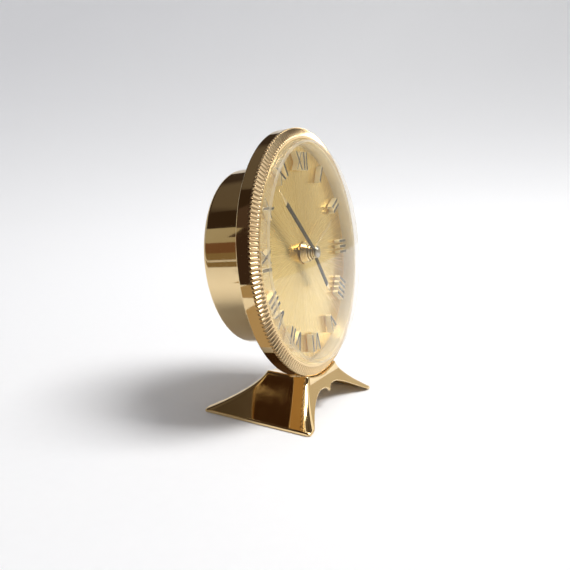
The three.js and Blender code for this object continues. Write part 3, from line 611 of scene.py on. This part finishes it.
def make_drum():
    """The case drum: a spun cup with a generous rear corner and a turned-in lip round the cover."""
    wall, rounding = 0.8, 2.6
    front, back = DRUM_LOW[1], DRUM_HIGH[1]
    lip = span("rear_cover")[1][0] + GAP
    profile = rounded([
        (DRUM_RADIUS - wall, front, 0.1), (DRUM_RADIUS, front, 0.1), (DRUM_RADIUS, back, rounding),
        (lip, back, 0.15), (lip, back - wall, 0.15), (DRUM_RADIUS - wall, back - wall, rounding - wall),
    ], closed=True, steps=10)
    add_piece("case_drum", lathe(profile, FINE, closed=True), [DRUM_BRASS], stands_for=["drum"])


def make_dial():
    """The brushed dial disc with a bevelled rim and a small step where the boss stands."""
    front, back = DIAL_LOW[1], DIAL_HIGH[1]
    outer, hole = DIAL_HIGH[0] - 0.05, 3.5
    profile = rounded([
        (hole, front, 0.05), (hole, back, 0.05), (outer, back, 0.05), (outer, front + 0.12, 0.03),
        (outer - 0.2, front, 0.06)], closed=True)
    add_piece("dial_disc", lathe(profile, FINE, closed=True), [DIAL_GILT], stands_for=["dial"])


# ---- numerals

HOUR_NAMES = ["I", "II", "III", "IIII", "V", "VI", "VII", "VIII", "IX", "X", "XI", "XII"]
NUMERAL_HALF = 2.8
NUMERAL_CIRCLE = 28.2
THICK, THIN, SPACE, WIDE = 1.05, 0.6, 0.8, 4.3


def crossing(a, b, c, d):
    """Where the line a-b meets the line c-d."""
    run, other, between = Vector(b) - Vector(a), Vector(d) - Vector(c), Vector(c) - Vector(a)
    share = (between.x * other.y - between.y * other.x) / (run.x * other.y - run.y * other.x)
    found = Vector(a) + run * share
    return (found.x, found.y)


def letter_outline(letter, left):
    """The outline of I, V or X from its left edge, as high as the numeral."""
    h = NUMERAL_HALF
    if letter == "I":
        return [(left, -h), (left + THICK, -h), (left + THICK, h), (left, h)]
    right = left + WIDE
    if letter == "V":
        middle = (left + right) / 2
        low_left, low_right = (middle - THICK / 2, -h), (middle + THICK / 2, -h)
        notch = crossing((left + THICK, h), low_right, (right - THIN, h), (middle - THIN / 2, -h))
        return [low_left, low_right, (right, h), (right - THIN, h), notch, (left + THICK, h), (left, h)]
    thick_left = [(left, h), (right - THICK, -h)]
    thick_right = [(left + THICK, h), (right, -h)]
    thin_left = [(right - THIN, h), (left, -h)]
    thin_right = [(right, h), (left + THIN, -h)]
    return [
        (left, -h), (left + THIN, -h), crossing(*thin_right, *thick_left), (right - THICK, -h), (right, -h),
        crossing(*thick_right, *thin_right), (right, h), (right - THIN, h),
        crossing(*thin_left, *thick_right), (left + THICK, h), (left, h), crossing(*thick_left, *thin_left),
    ]


def make_numerals():
    """Raised Roman numerals with gilt walls and black faces, each set along its own hour."""
    for number, name in enumerate(HOUR_NAMES, 1):
        node = f"numeral_{number:02d}"
        low, high = span(node)
        total = sum(THICK if letter == "I" else WIDE for letter in name) + SPACE * (len(name) - 1)
        left = -total / 2
        letters = []
        for letter in name:
            letters.append(plate([letter_outline(letter, left)], low[1], high[1], 0.07, front_kind=1))
            left += (THICK if letter == "I" else WIDE) + SPACE
        angle = math.radians(30 * number)
        x, z = NUMERAL_CIRCLE * math.sin(angle), NUMERAL_CIRCLE * math.cos(angle)
        shape = moved(merged(*letters), x, 0, z, angle)
        add_piece(f"raised_{node}", shape, [SATIN_GILT, BLACK], stands_for=[node])


# ---- hands


def blade(sections, front, back):
    """A straight hand from sections (distance, half width, kind) along Z, with bevelled long edges."""
    points, faces, kinds = [], [], []
    ring = 6
    for distance, half, _ in sections:
        b = min(0.06, 0.4 * half)
        corners = [(-half, back), (-half, front + b), (b - half, front)]
        corners += [(half - b, front), (half, front + b), (half, back)]
        points += [(x, y, distance) for x, y in corners]
    for k in range(len(sections) - 1):
        for j in range(ring):
            a, b = k * ring + j, k * ring + (j + 1) % ring
            faces.append((a, b, b + ring, a + ring))
            kinds.append(sections[k][2])
    last = (len(sections) - 1) * ring
    faces += [tuple(range(ring))[::-1], tuple(range(last, last + ring))]
    kinds += [sections[0][2], sections[-1][2]]
    return points, faces, kinds


def make_hand(node, body, sections, hub_radius, bore, collet_back):
    """A hand with its hub and the collet behind it that grips the pipe."""
    low, high = span(node)
    front, back = low[1], high[1]
    hub = lathe(rounded([
        (bore, front, 0.04), (hub_radius - 0.12, front, 0.1), (hub_radius, front + 0.12, 0.05),
        (hub_radius, back, 0.05), (bore + 0.45, back, 0.03), (bore + 0.4, collet_back, 0.05),
        (bore, collet_back, 0.03),
    ], closed=True, steps=3), 64, closed=True)
    arm = blade(sections, front, back)
    shape = moved(merged(arm, painted(hub, 1)), turn=hand_angle(node))
    add_piece(f"{node}_fine", shape, [BLACK, GILT], body=body, stands_for=[node])


def hand_angle(node):
    """The clock angle at which a hand points, from its far end."""
    back = CLOCK.inverted()
    places = [back @ vertex.co for vertex in frame["nodes"][node].data.vertices]
    tip = max(places, key=lambda place: math.hypot(place.x, place.z))
    return math.atan2(tip.x, tip.z)


def make_hands():
    """Two black batons with bright shoulders and needle tips, the thin gilt alarm hand and the steel cap."""
    minute = [(-1.0, 0.7, 0), (22.8, 0.8, 0), (23.0, 0.8, 1), (26.0, 0.3, 1), (28.5, 0.12, 1)]
    hour = [(-1.0, 0.7, 0), (13.8, 0.8, 0), (14.0, 0.8, 1), (15.2, 0.3, 1), (17.2, 0.12, 1)]
    alarm = [(-1.0, 0.35, 1), (19.0, 0.32, 1), (20.0, 0.12, 1)]
    make_hand("minute_hand", "minute", minute, 1.85, 0.76, -0.95)
    make_hand("hour_hand", "hour", hour, 1.95, 1.31, -0.25)
    make_hand("alarm_hand", "alarm_pointer", alarm, 2.35, 1.86, 0.45)
    front = span("hand_cap")[0][1]
    back = span("hand_cap")[1][1]
    cap = lathe(rounded([
        (0, front, 0), (0.55, front + 0.02, 0.3), (1.25, front + 0.18, 0.3), (1.35, front + 0.34, 0.06),
        (1.75, front + 0.4, 0.2), (1.9, front + 0.62, 0.1), (1.9, back, 0.06), (0, back, 0)], steps=4), 64)
    add_piece("hand_cap_fine", cap, [STEEL], body="minute", stands_for=["hand_cap"])


def make_boss():
    """The turned bush at the dial's centre, a stack of fine rounded rings that narrows to the front."""
    front, back = span("centre_boss")[0][1], span("centre_boss")[1][1]
    inner, rings, widest, narrowing, groove = 2.4, 5, 3.25, 0.11, 0.3
    step = (back - front) / rings
    corners = [(inner, front, 0.03), (inner, back, 0.03)]
    for k in range(rings):
        radius = widest - narrowing * k
        y = back - k * step
        corners += [(radius - groove, y, 0.02), (radius, y - 0.2 * step, 0.12),
                    (radius, y - 0.75 * step, 0.12), (radius - groove, y - 0.92 * step, 0.02)]
    add_piece("centre_boss_fine", lathe(rounded(corners, closed=True, steps=3), 96, closed=True), [GILT],
              stands_for=["centre_boss"])


# ---- the back


def make_cover():
    """The rear cover, with its holes and the regulator's arched slot."""
    low, high = span("rear_cover")
    front, back = low[1], high[1]
    balance = joint_place("regulator_swing")
    reach, half_swing, half_slot = 5.0, math.radians(23), 0.9
    angles = [math.radians(90) - half_swing + 2 * half_swing * k / 12 for k in range(13)]
    slot = []
    for radius, order in ((reach + half_slot, angles), (reach - half_slot, angles[::-1])):
        slot += [(balance.x + radius * math.cos(a), balance.z + radius * math.sin(a)) for a in order]
    holes = [slot]
    for joint, radius in (("minute_turn", 1.0), ("alarm_setter_turn", 1.0), ("time_key_turn", 2.2),
                          ("alarm_key_turn", 2.2)):
        place = joint_place(joint)
        holes.append(circle(radius, (place.x, place.z)))
    for node, radius in (("alarm_stop_button", 1.5), *((f"cover_screw_{k}", 1.15) for k in (1, 2, 3))):
        middle = sum(span(node)) / 2
        holes.append(circle(radius, (middle[0], middle[2]), 32))
    disc = plate([circle(high[0] - 0.01, count=160)] + holes, front, back, 0.1)
    add_piece("rear_cover_fine", disc, [COVER_GILT], stands_for=["rear_cover"])


def screw_shape(head, under, top, tip, shank):
    """A slotted cheese-head screw: a rounded head in two halves with the slot between."""
    slot_half, slot_depth, rim = 0.2, 0.35, 0.125
    floor = top - slot_depth
    body = lathe(rounded([
        (0, tip, 0), (shank - 0.15, tip, 0.05), (shank, tip + 0.2, 0.05), (shank, under, 0.02),
        (head - 0.1, under, 0.05), (head, under + 0.1, 0.05), (head, floor, 0.02), (0, floor, 0)]), 48)
    reach = math.asin(slot_half / head)
    halves = []
    for side in (0, math.pi):
        angles = [reach + (math.pi - 2 * reach) * k / 20 + side for k in range(21)]
        half = [(head * math.cos(a), head * math.sin(a)) for a in angles]
        halves.append(plate([half], floor, top, rim))
    return merged(body, *halves)


def make_cover_screws():
    """Three slotted steel screws, each with its slot at another angle."""
    for number in (1, 2, 3):
        node = f"cover_screw_{number}"
        low, high = span(node)
        middle = (low + high) / 2
        shape = screw_shape(1.6, high[1] - 0.8, high[1], low[1], 0.8)
        shape = moved(shape, middle[0], 0, middle[2], math.radians(35 + 50 * (number - 1)))
        add_piece(f"{node}_fine", shape, [STEEL], stands_for=[node])


def add_fine(node, shape, body):
    """A polished brass piece that stands for one node."""
    add_piece(f"{node}_fine", shape, [CASE_BRASS], body=body, stands_for=[node])


def make_knob(node, body, joint):
    """A knurled setting knob with a dished face."""
    low, high = span(node)
    place = joint_place(joint)
    radius, front, back = (high[0] - low[0]) / 2, low[1], high[1]
    grip = radius - 0.02
    profile = [(r, y, 0, 0) for r, y in rounded([
        (0.76, front + 0.02, 0.03), (0.55 * radius, front, 0.08), (0.55 * radius, front + 0.6, 0.08)])]
    profile += [(grip - 0.45, front + 0.62, 0, 0), (grip - 0.2, front + 0.66, 0.1, 0),
                (grip, front + 0.9, 0.32, 0), (grip, back - 0.35, 0.32, 0),
                (grip - 0.18, back - 0.12, 0.16, 0), (grip - 0.5, back, 0, 0)]
    profile += [(r, y, 0, 0) for r, y in rounded([
        (0.62 * radius, back, 0), (0.55 * radius, back - 0.35, 0.12), (0.3 * radius, back - 0.45, 0.2),
        (0.12, back - 0.42, 0)])]
    profile += [(0.76, back - 0.6, 0, 0)]
    shape = moved(milled(profile, KNURLS), place.x, 0, place.z)
    add_fine(node, shape, body)


def make_key(prefix):
    """A winding key: its arbor and hub with two lugs, and the leaf that folds flat on a pin."""
    turn = joint_place(f"{prefix}_turn")
    low, high = span(prefix)
    hub, lug_in = 3.9, 3.1
    under, top = 22.3, 24.6
    arbor, square, shank = 0.25, 1.2, 1.5
    square_from, square_to = 8.4, 16.8
    stem = lathe(rounded([
        (0, low[1], 0), (arbor, low[1], 0.03), (arbor, square_from, 0.02), (square, square_from, 0.1),
        (square, square_to, 0.02), (shank, square_to, 0.05), (shank, under, 0.1), (hub - 0.3, under, 0.15),
        (hub, under + 0.35, 0.15), (hub, top - 0.55, 0.3),
        (hub - 0.45, top, 0.25), (1.6, top, 0.3), (1.2, top - 0.25, 0.2), (0, top - 0.25, 0)]), 96)
    lug_height = high[1] - 0.01
    left, right, peak = (-1.05, top - 0.3), (1.05, top - 0.3), (0, lug_height)
    side = [left, right] + curve(right, (right[0], lug_height), peak, 6)
    side += curve(peak, (left[0], lug_height), left, 6)[:-1]
    lugs = []
    for start in (-hub + 0.02, lug_in):
        block = plate([side], start, start + hub - lug_in - 0.02, 0.1)
        lugs.append(([(y, z, x) for x, y, z in block[0]], block[1], block[2]))
    shape = moved(merged(stem, *lugs), turn.x, 0, turn.z)
    add_fine(prefix, shape, prefix)

    node = f"{prefix}_wing"
    low, high = span(node)
    middle = joint_place(f"{prefix}_fold")
    neck, leaf, length = 2.35, 4.4, -(low[2] - middle.z)
    half_thickness, eye, eye_down = 0.38, 1.3, 4.8
    pin_radius, pin_half = 0.6, 2.8
    right = [(0, -length)] + curve((0, -length), (leaf, -length), (leaf, -leaf), 14)
    right += curve((leaf, -leaf), (leaf, -2.2), (neck, -1.7), 8) + [(neck, 0.45)]
    outlines = [mirrored(right), circle(eye, (0, -eye_down))]
    leaf_shape = plate(outlines, middle.y - half_thickness, middle.y + half_thickness, 0.16)
    pin = lathe(rounded([(0, -pin_half, 0), (pin_radius, -pin_half, 0.1), (pin_radius, pin_half, 0.1),
                         (0, pin_half, 0)]), 32)
    pin = ([(y, x + middle.y, z) for x, y, z in pin[0]], [face[::-1] for face in pin[1]], pin[2])
    shape = moved(merged(leaf_shape, pin), turn.x, 0, turn.z)
    add_fine(node, shape, node)


def make_stop_button():
    """A round push button on a thinner shank."""
    low, high = span("alarm_stop_button")
    middle = (low + high) / 2
    front, back = low[1], high[1] - 0.02
    shank_end = back - 2.0
    radius = (high[0] - low[0]) / 2
    profile = rounded([
        (0, front, 0), (1.0, front, 0.1), (1.0, shank_end, 0.1), (radius - 0.15, shank_end, 0.1),
        (radius, shank_end + 0.2, 0.1), (radius, back - 0.75, 0.35), (radius - 0.5, back - 0.15, 0.3),
        (0, back, 0)])
    shape = moved(lathe(profile, 72), middle[0], 0, middle[2])
    add_fine("alarm_stop_button", shape, "alarm_stop_button")


# ---- foot

FOOT_LOW, FOOT_HIGH = (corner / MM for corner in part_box("foot"))
FOOT_HALF_WIDTH = FOOT_HIGH.x
FOOT_HEIGHT = 12.45
FOOT_LIP = 1.0  # height of the upright rim along the table
NECK_HALF_WIDTH, NECK_FRONT, NECK_BACK = 11.0, 6.35, 7.85
WALL, SIDE_WALL, POCKET_CEILING = 1.7, 2.2, 7.9
ARRIS = 1.5  # rounding of the corners between the sides
ARCH_SLOPE = 0.9  # makes the arch's field grow about a millimetre per millimetre
GROOVE_FRONT, GROOVE_PAST = -4, 0.4  # the bezel's seat, from its front and past its back
SADDLE_BOTTOM, SADDLE_FRONT = 10.2, -1.5
SCREW_PLACE, SCREW_HOLE, SCREW_HOLE_TOP = 2.7, 1.3, -36
CASE_Y = HANDS_PLACE.y / MM
CASE_Z = HANDS_PLACE.z / MM


def larger(one, two, rounding):
    """The larger of two fields, with the crease between them rounded."""
    overlap = np.maximum(rounding - np.abs(one - two), 0) / rounding
    return np.maximum(one, two) + overlap * overlap * rounding / 4


def flare(height, bottom, top, power):
    """How far a side of the casting stands out at a height, and the slope of that curve."""
    share = np.clip(1 - (height - FOOT_LIP) / (FOOT_HEIGHT - FOOT_LIP), 1e-4, None)
    out = top + (bottom - top) * share ** power
    slope = (bottom - top) * power * share ** (power - 1) / (FOOT_HEIGHT - FOOT_LIP)
    return out, np.sqrt(1 + slope * slope)


def arch_height(x):
    """The underside of the arch: two lobes that meet in a cusp at the middle."""
    toe, crown, cusp = 24.2, (5.4, 6.8), 5.3
    lobe_bend, leg_bend, toe_bend = (0.9, 7), (10.5, 6.6), (19.5, 1.6)
    past_toe = (40, -12.0)
    t = np.linspace(0, 1, 60)
    u = 1 - t
    lobe_x = 2 * t * u * lobe_bend[0] + t * t * crown[0]
    lobe_z = u ** 2 * cusp + 2 * t * u * lobe_bend[1] + t * t * crown[1]
    leg_x = u ** 3 * crown[0] + 3 * t * u ** 2 * leg_bend[0] + 3 * t * t * u * toe_bend[0] + t ** 3 * toe
    leg_z = u ** 3 * crown[1] + 3 * t * u ** 2 * leg_bend[1] + 3 * t * t * u * toe_bend[1]
    xs = np.concatenate([lobe_x, leg_x[1:], [toe + past_toe[0]]])
    zs = np.concatenate([lobe_z, leg_z[1:], [past_toe[1]]])
    return np.interp(np.abs(x), xs, zs)


def foot_field(p):
    """Below zero inside the casting. Points are in millimetres in the row's frame."""
    x, y, z = np.abs(p[..., 0]), p[..., 1], p[..., 2]
    sides = []
    walls = []
    for away, bottom, top, power, thickness in (
            (x, FOOT_HALF_WIDTH, NECK_HALF_WIDTH, 1.35, SIDE_WALL),
            (-y, -FOOT_LOW.y, NECK_FRONT - CASE_Y, 1.7, WALL),
            (y, FOOT_HIGH.y, NECK_BACK + CASE_Y, 1.75, WALL)):
        out, scale = flare(z, bottom, top, power)
        sides.append(larger((away - out) / scale, away - bottom, 0.35))
        walls.append((away - np.minimum(out, bottom) + thickness) / scale)
    body = larger(larger(sides[0], sides[1], ARRIS), larger(sides[0], sides[2], ARRIS), 0.2)
    body = np.maximum(body, np.maximum(sides[1], sides[2]))
    body = larger(body, -z, 0.25)
    body = larger(body, z - FOOT_HEIGHT, 0.4)
    pocket = np.maximum(np.maximum(walls[0], walls[1]), np.maximum(walls[2], z - POCKET_CEILING))
    body = larger(body, -pocket, 0.6)
    body = larger(body, (arch_height(x) - z) * ARCH_SLOPE, 0.55)
    c, s = math.cos(TILT), math.sin(TILT)
    local_y = (y - CASE_Y) * c - (z - CASE_Z) * s
    local_z = (y - CASE_Y) * s + (z - CASE_Z) * c
    seat_radius = BEZEL_RADIUS + GAP
    groove_sides = np.maximum(GROOVE_FRONT - local_y, local_y - BEZEL_BACK - GROOVE_PAST)
    groove = np.maximum(np.hypot(x, local_z) - seat_radius, groove_sides)
    body = larger(body, -groove, 0.25)
    saddle_radius = seat_radius + 0.3
    level = np.hypot(x, z - SADDLE_BOTTOM - saddle_radius) - saddle_radius
    body = larger(body, -np.maximum(level, SADDLE_FRONT - (y - CASE_Y)), 0.35)
    bore = np.maximum(np.hypot(x, local_y - SCREW_PLACE) - SCREW_HOLE, local_z - SCREW_HOLE_TOP)
    return larger(body, -bore, 0.15)


def gradient(field, points):
    """The field's slope at points, by central differences."""
    steps, reach = [], 0.02
    for axis in range(3):
        shift = np.zeros(3)
        shift[axis] = reach
        steps.append((field(points + shift) - field(points - shift)) / (2 * reach))
    return np.stack(steps, -1)


def net(field, low, high, step):
    """A quad mesh of the surface where the field is zero, with its points moved onto the surface."""
    axes = [np.arange(a - 1.5 * step, b + 1.5 * step, step) for a, b in zip(low, high)]
    grid = np.stack(np.meshgrid(*axes, indexing="ij"), -1)
    values = field(grid)
    cells = tuple(n - 1 for n in values.shape)
    total, hits = np.zeros(cells + (3,)), np.zeros(cells)
    edges = []
    for axis in range(3):
        here = np.moveaxis(values, axis, 0)
        starts = np.moveaxis(grid, axis, 0)[:-1]
        near, far = here[:-1], here[1:]
        crossed = (near < 0) != (far < 0)
        share = np.where(crossed, near / np.where(crossed, near - far, 1), 0)
        found = starts.copy()
        found[..., axis] += share * step
        found *= crossed[..., None]
        sums, counts = np.moveaxis(total, axis, 0), np.moveaxis(hits, axis, 0)
        n_b, n_c = here.shape[1] - 1, here.shape[2] - 1
        for b in (0, 1):
            for c in (0, 1):
                sums += found[:, b:n_b + b, c:n_c + c]
                counts += crossed[:, b:n_b + b, c:n_c + c]
        edges.append((axis, crossed, near < 0))
    used = hits > 0
    number = np.full(cells, -1)
    number[used] = np.arange(used.sum())
    points = total[used] / hits[used][:, None]
    quads = []
    for axis, crossed, inside in edges:
        ids = np.moveaxis(number, axis, 0)
        i, j, k = np.nonzero(crossed[:, 1:-1, 1:-1])
        corners = np.stack([ids[i, j, k], ids[i, j + 1, k], ids[i, j + 1, k + 1], ids[i, j, k + 1]], 1)
        turned = inside[i, j + 1, k + 1] == (axis != 1)
        quads.append(np.where(turned[:, None], corners, corners[:, ::-1]))
    quads = np.concatenate(quads)
    for smoothing in range(4):
        sums, counts = np.zeros_like(points), np.zeros(len(points))
        for a, b in ((0, 1), (1, 2), (2, 3), (3, 0)):
            np.add.at(sums, quads[:, a], points[quads[:, b]])
            np.add.at(sums, quads[:, b], points[quads[:, a]])
            np.add.at(counts, quads[:, a], 1)
            np.add.at(counts, quads[:, b], 1)
        points = 0.4 * points + 0.6 * sums / counts[:, None]
        for _ in range(3):
            slope = gradient(field, points)
            points = points - (field(points) / np.maximum((slope ** 2).sum(-1), 0.2))[:, None] * slope
    normals = gradient(field, points)
    return points, quads, normals / np.linalg.norm(normals, axis=1)[:, None]


def make_foot():
    """The cast saddle foot as one smooth skin with soft edges."""
    step = 0.34
    points, quads, normals = net(foot_field, FOOT_LOW, (FOOT_HIGH.x, FOOT_HIGH.y, FOOT_HIGH.z + 0.6), step)
    shape = [tuple(p) for p in points], [tuple(int(c) for c in q) for q in quads], [0] * len(quads)
    piece = add_piece("saddle_foot", shape, [FOOT_BRASS], stands_for=["foot"],
                      place=Matrix.Scale(MM, 4), flat=False)
    piece.data.normals_split_custom_set_from_vertices([tuple(n) for n in normals])


# ---- stage


def stage_mesh(name, points, faces, material):
    mesh = bpy.data.meshes.new(name)
    mesh.from_pydata(points, [], faces)
    mesh.materials.append(material)
    mesh.polygons.foreach_set("use_smooth", [True] * len(faces))
    made = bpy.data.objects.new(name, mesh)
    bpy.context.scene.collection.objects.link(made)
    return made


AMBIENT = 0.26  # the white light that matt surfaces get from all round
# sine of the elevation, and how bright the room is there
ROOM = [
    (0.0, (0.6, 0.6, 0.6)), (0.36, (0.55, 0.54, 0.53)), (0.44, (0.045, 0.032, 0.024)),
    (0.66, (0.045, 0.032, 0.024)), (0.72, (0.12, 0.10, 0.08)), (0.80, (0.12, 0.10, 0.08)),
    (0.86, (0.06, 0.045, 0.03)), (1.0, (0.16, 0.13, 0.10)),
]


def make_sweep():
    """A round pale floor that curves up into a low wall on every side."""
    flat, wall, height = 0.4, 2.0, 1.0
    profile = [(0, 0)] + [(flat * k / 6, 0) for k in range(1, 7)]
    profile += [(flat + (wall - flat) * math.sin(a), height * (1 - math.cos(a)))
                for a in (math.pi / 2 * k / 12 for k in range(1, 13))]
    points, faces, _ = lathe(profile, 96)
    points = [(x, z, y) for x, y, z in points]
    stage_mesh("floor", points, faces, floor_with_painted_shade("pale floor"))


def make_card(name, place, facing, width, height, brightness):
    """A glowing card seen only in reflections."""
    s = Surface(name)
    s.tree.nodes.remove(s.shader)
    light = s.add("Emission", {"Color": brightness, "Strength": 1.0})
    s.feed(s.tree.nodes["Material Output"].inputs["Surface"], light)
    w, h = width / 2, height / 2
    corners = [(-w, -h, 0), (w, -h, 0), (w, h, 0), (-w, h, 0)]
    made = stage_mesh(name, corners, [(0, 1, 2, 3)], s.material)
    turn = Vector(facing).to_track_quat("Z", "Y").to_matrix().to_4x4()
    made.matrix_world = Matrix.Translation(place) @ turn
    made.visible_camera = False
    made.visible_diffuse = False
    made.visible_shadow = False
    made.visible_transmission = False


def make_lamp(name, place, target, width, height, power, tint=(1, 1, 1)):
    """A rectangular soft light that the camera does not see."""
    data = bpy.data.lights.new(name, "AREA")
    data.shape = "RECTANGLE"
    data.size, data.size_y = width, height
    data.energy = power
    data.color = tint
    lamp = bpy.data.objects.new(name, data)
    bpy.context.scene.collection.objects.link(lamp)
    aim = (Vector(target) - Vector(place)).to_track_quat("-Z", "Y").to_matrix().to_4x4()
    lamp.matrix_world = Matrix.Translation(place) @ aim
    lamp.visible_camera = False


def make_world():
    """Soft white light on matt surfaces; polished ones see a dim warm room above a bright horizon."""
    world = bpy.data.worlds.new("room")
    world.use_nodes = True
    tree = world.node_tree
    bpy.context.scene.world = world
    new, link = tree.nodes.new, tree.links.new
    room = tree.nodes["Background"]
    direction, split, ramp = new("ShaderNodeTexCoord"), new("ShaderNodeSeparateXYZ"), new("ShaderNodeValToRGB")
    link(direction.outputs["Generated"], split.inputs[0])
    link(split.outputs["Z"], ramp.inputs["Fac"])
    link(ramp.outputs["Color"], room.inputs["Color"])
    stops = ramp.color_ramp.elements
    for stop, (position, shade) in ((stops[0], ROOM[0]), (stops[1], ROOM[-1])):
        stop.position, stop.color = position, colour(*shade)
    for position, shade in ROOM[1:-1]:
        stops.new(position).color = colour(*shade)
    soft, rays, both = new("ShaderNodeBackground"), new("ShaderNodeLightPath"), new("ShaderNodeMixShader")
    soft.inputs["Color"].default_value = colour(0.97, 0.98, 1.0)
    soft.inputs["Strength"].default_value = AMBIENT
    link(rays.outputs["Is Diffuse Ray"], both.inputs[0])
    link(room.outputs[0], both.inputs[1])
    link(soft.outputs[0], both.inputs[2])
    link(both.outputs[0], tree.nodes["World Output"].inputs["Surface"])



make_bezel()
make_crystal()
make_drum()
make_dial()
make_numerals()
make_hands()
make_boss()
make_cover()
make_cover_screws()
make_knob("hand_setting_knob", "minute", "minute_turn")
make_knob("alarm_setting_knob", "alarm_setter", "alarm_setter_turn")
make_key("time_key")
make_key("alarm_key")
make_stop_button()
make_foot()

STEEL_NODES = ("foot_screw", "centre_arbor", "cannon_pinion", "alarm_setting_arbor", "pallet_fork",
               "regulator", "alarm_hammer")
SPRING_NODES = ("mainspring", "alarm_mainspring", "hairspring")
for name, node in frame["nodes"].items():
    if not node.hide_render:
        node.data.materials.clear()
        node.data.materials.append(
            STEEL if name in STEEL_NODES else SPRING if name in SPRING_NODES else MOVEMENT)

make_sweep()
make_world()
make_lamp("window", (0.25, -0.50, 1.07), (0, 0, 0.03), 0.55, 0.55, 13.4, (1.0, 0.995, 0.985))
make_lamp("backdrop light", (0.2, 0.1, 1.3), (1.7, 0.8, 0.75), 1.0, 0.6, 9.0)

UPWARDS, RIGHTWARDS, TO_CLOCK = (0, 0, 1), (1, 0, 0), (-0.9, 0.45, 0)
# name, place in metres, the way it faces, width, height, brightness
CARDS = [
    ("right wall, low", (0.47, -0.235, 0.14), TO_CLOCK, 0.9, 0.2, (0.64, 0.58, 0.47)),
    ("right wall, high", (0.47, -0.235, 0.34), TO_CLOCK, 0.9, 0.2, (1.2, 1.18, 1.15)),
    ("left wall, light stripe", (-0.47, 0.2, 0.285), RIGHTWARDS, 1.2, 0.2, (0.39, 0.36, 0.28)),
    ("left wall, brown stripe", (-0.47, 0.2, 0.13), RIGHTWARDS, 1.2, 0.11, (0.17, 0.09, 0.05)),
    ("left wall, foot", (-0.47, 0.2, 0.038), RIGHTWARDS, 1.2, 0.074, (0.23, 0.17, 0.09)),
    ("left wall, top", (-0.46, 0.2, 0.64), RIGHTWARDS, 1.2, 0.5, (0.035, 0.022, 0.014)),
    ("left table", (-0.33, 0.2, 0.001), UPWARDS, 0.26, 1.2, (0.23, 0.17, 0.09)),
    ("near screen", (-0.10, -0.008, 0.048), RIGHTWARDS, 0.106, 0.074, (0.045, 0.027, 0.02)),
    ("near screen, top", (-0.10, 0.003, 0.11), RIGHTWARDS, 0.126, 0.05, (0.075, 0.05, 0.04)),
    ("near table", (-0.0775, -0.022, 0.0012), UPWARDS, 0.095, 0.076, (0.48, 0.37, 0.23)),
    ("near table, back", (-0.105, 0.0285, 0.0012), UPWARDS, 0.04, 0.025, (0.42, 0.32, 0.19)),
]
for name, place, facing, width, height, brightness in CARDS:
    make_card(name, place, facing, width, height, colour(*brightness))
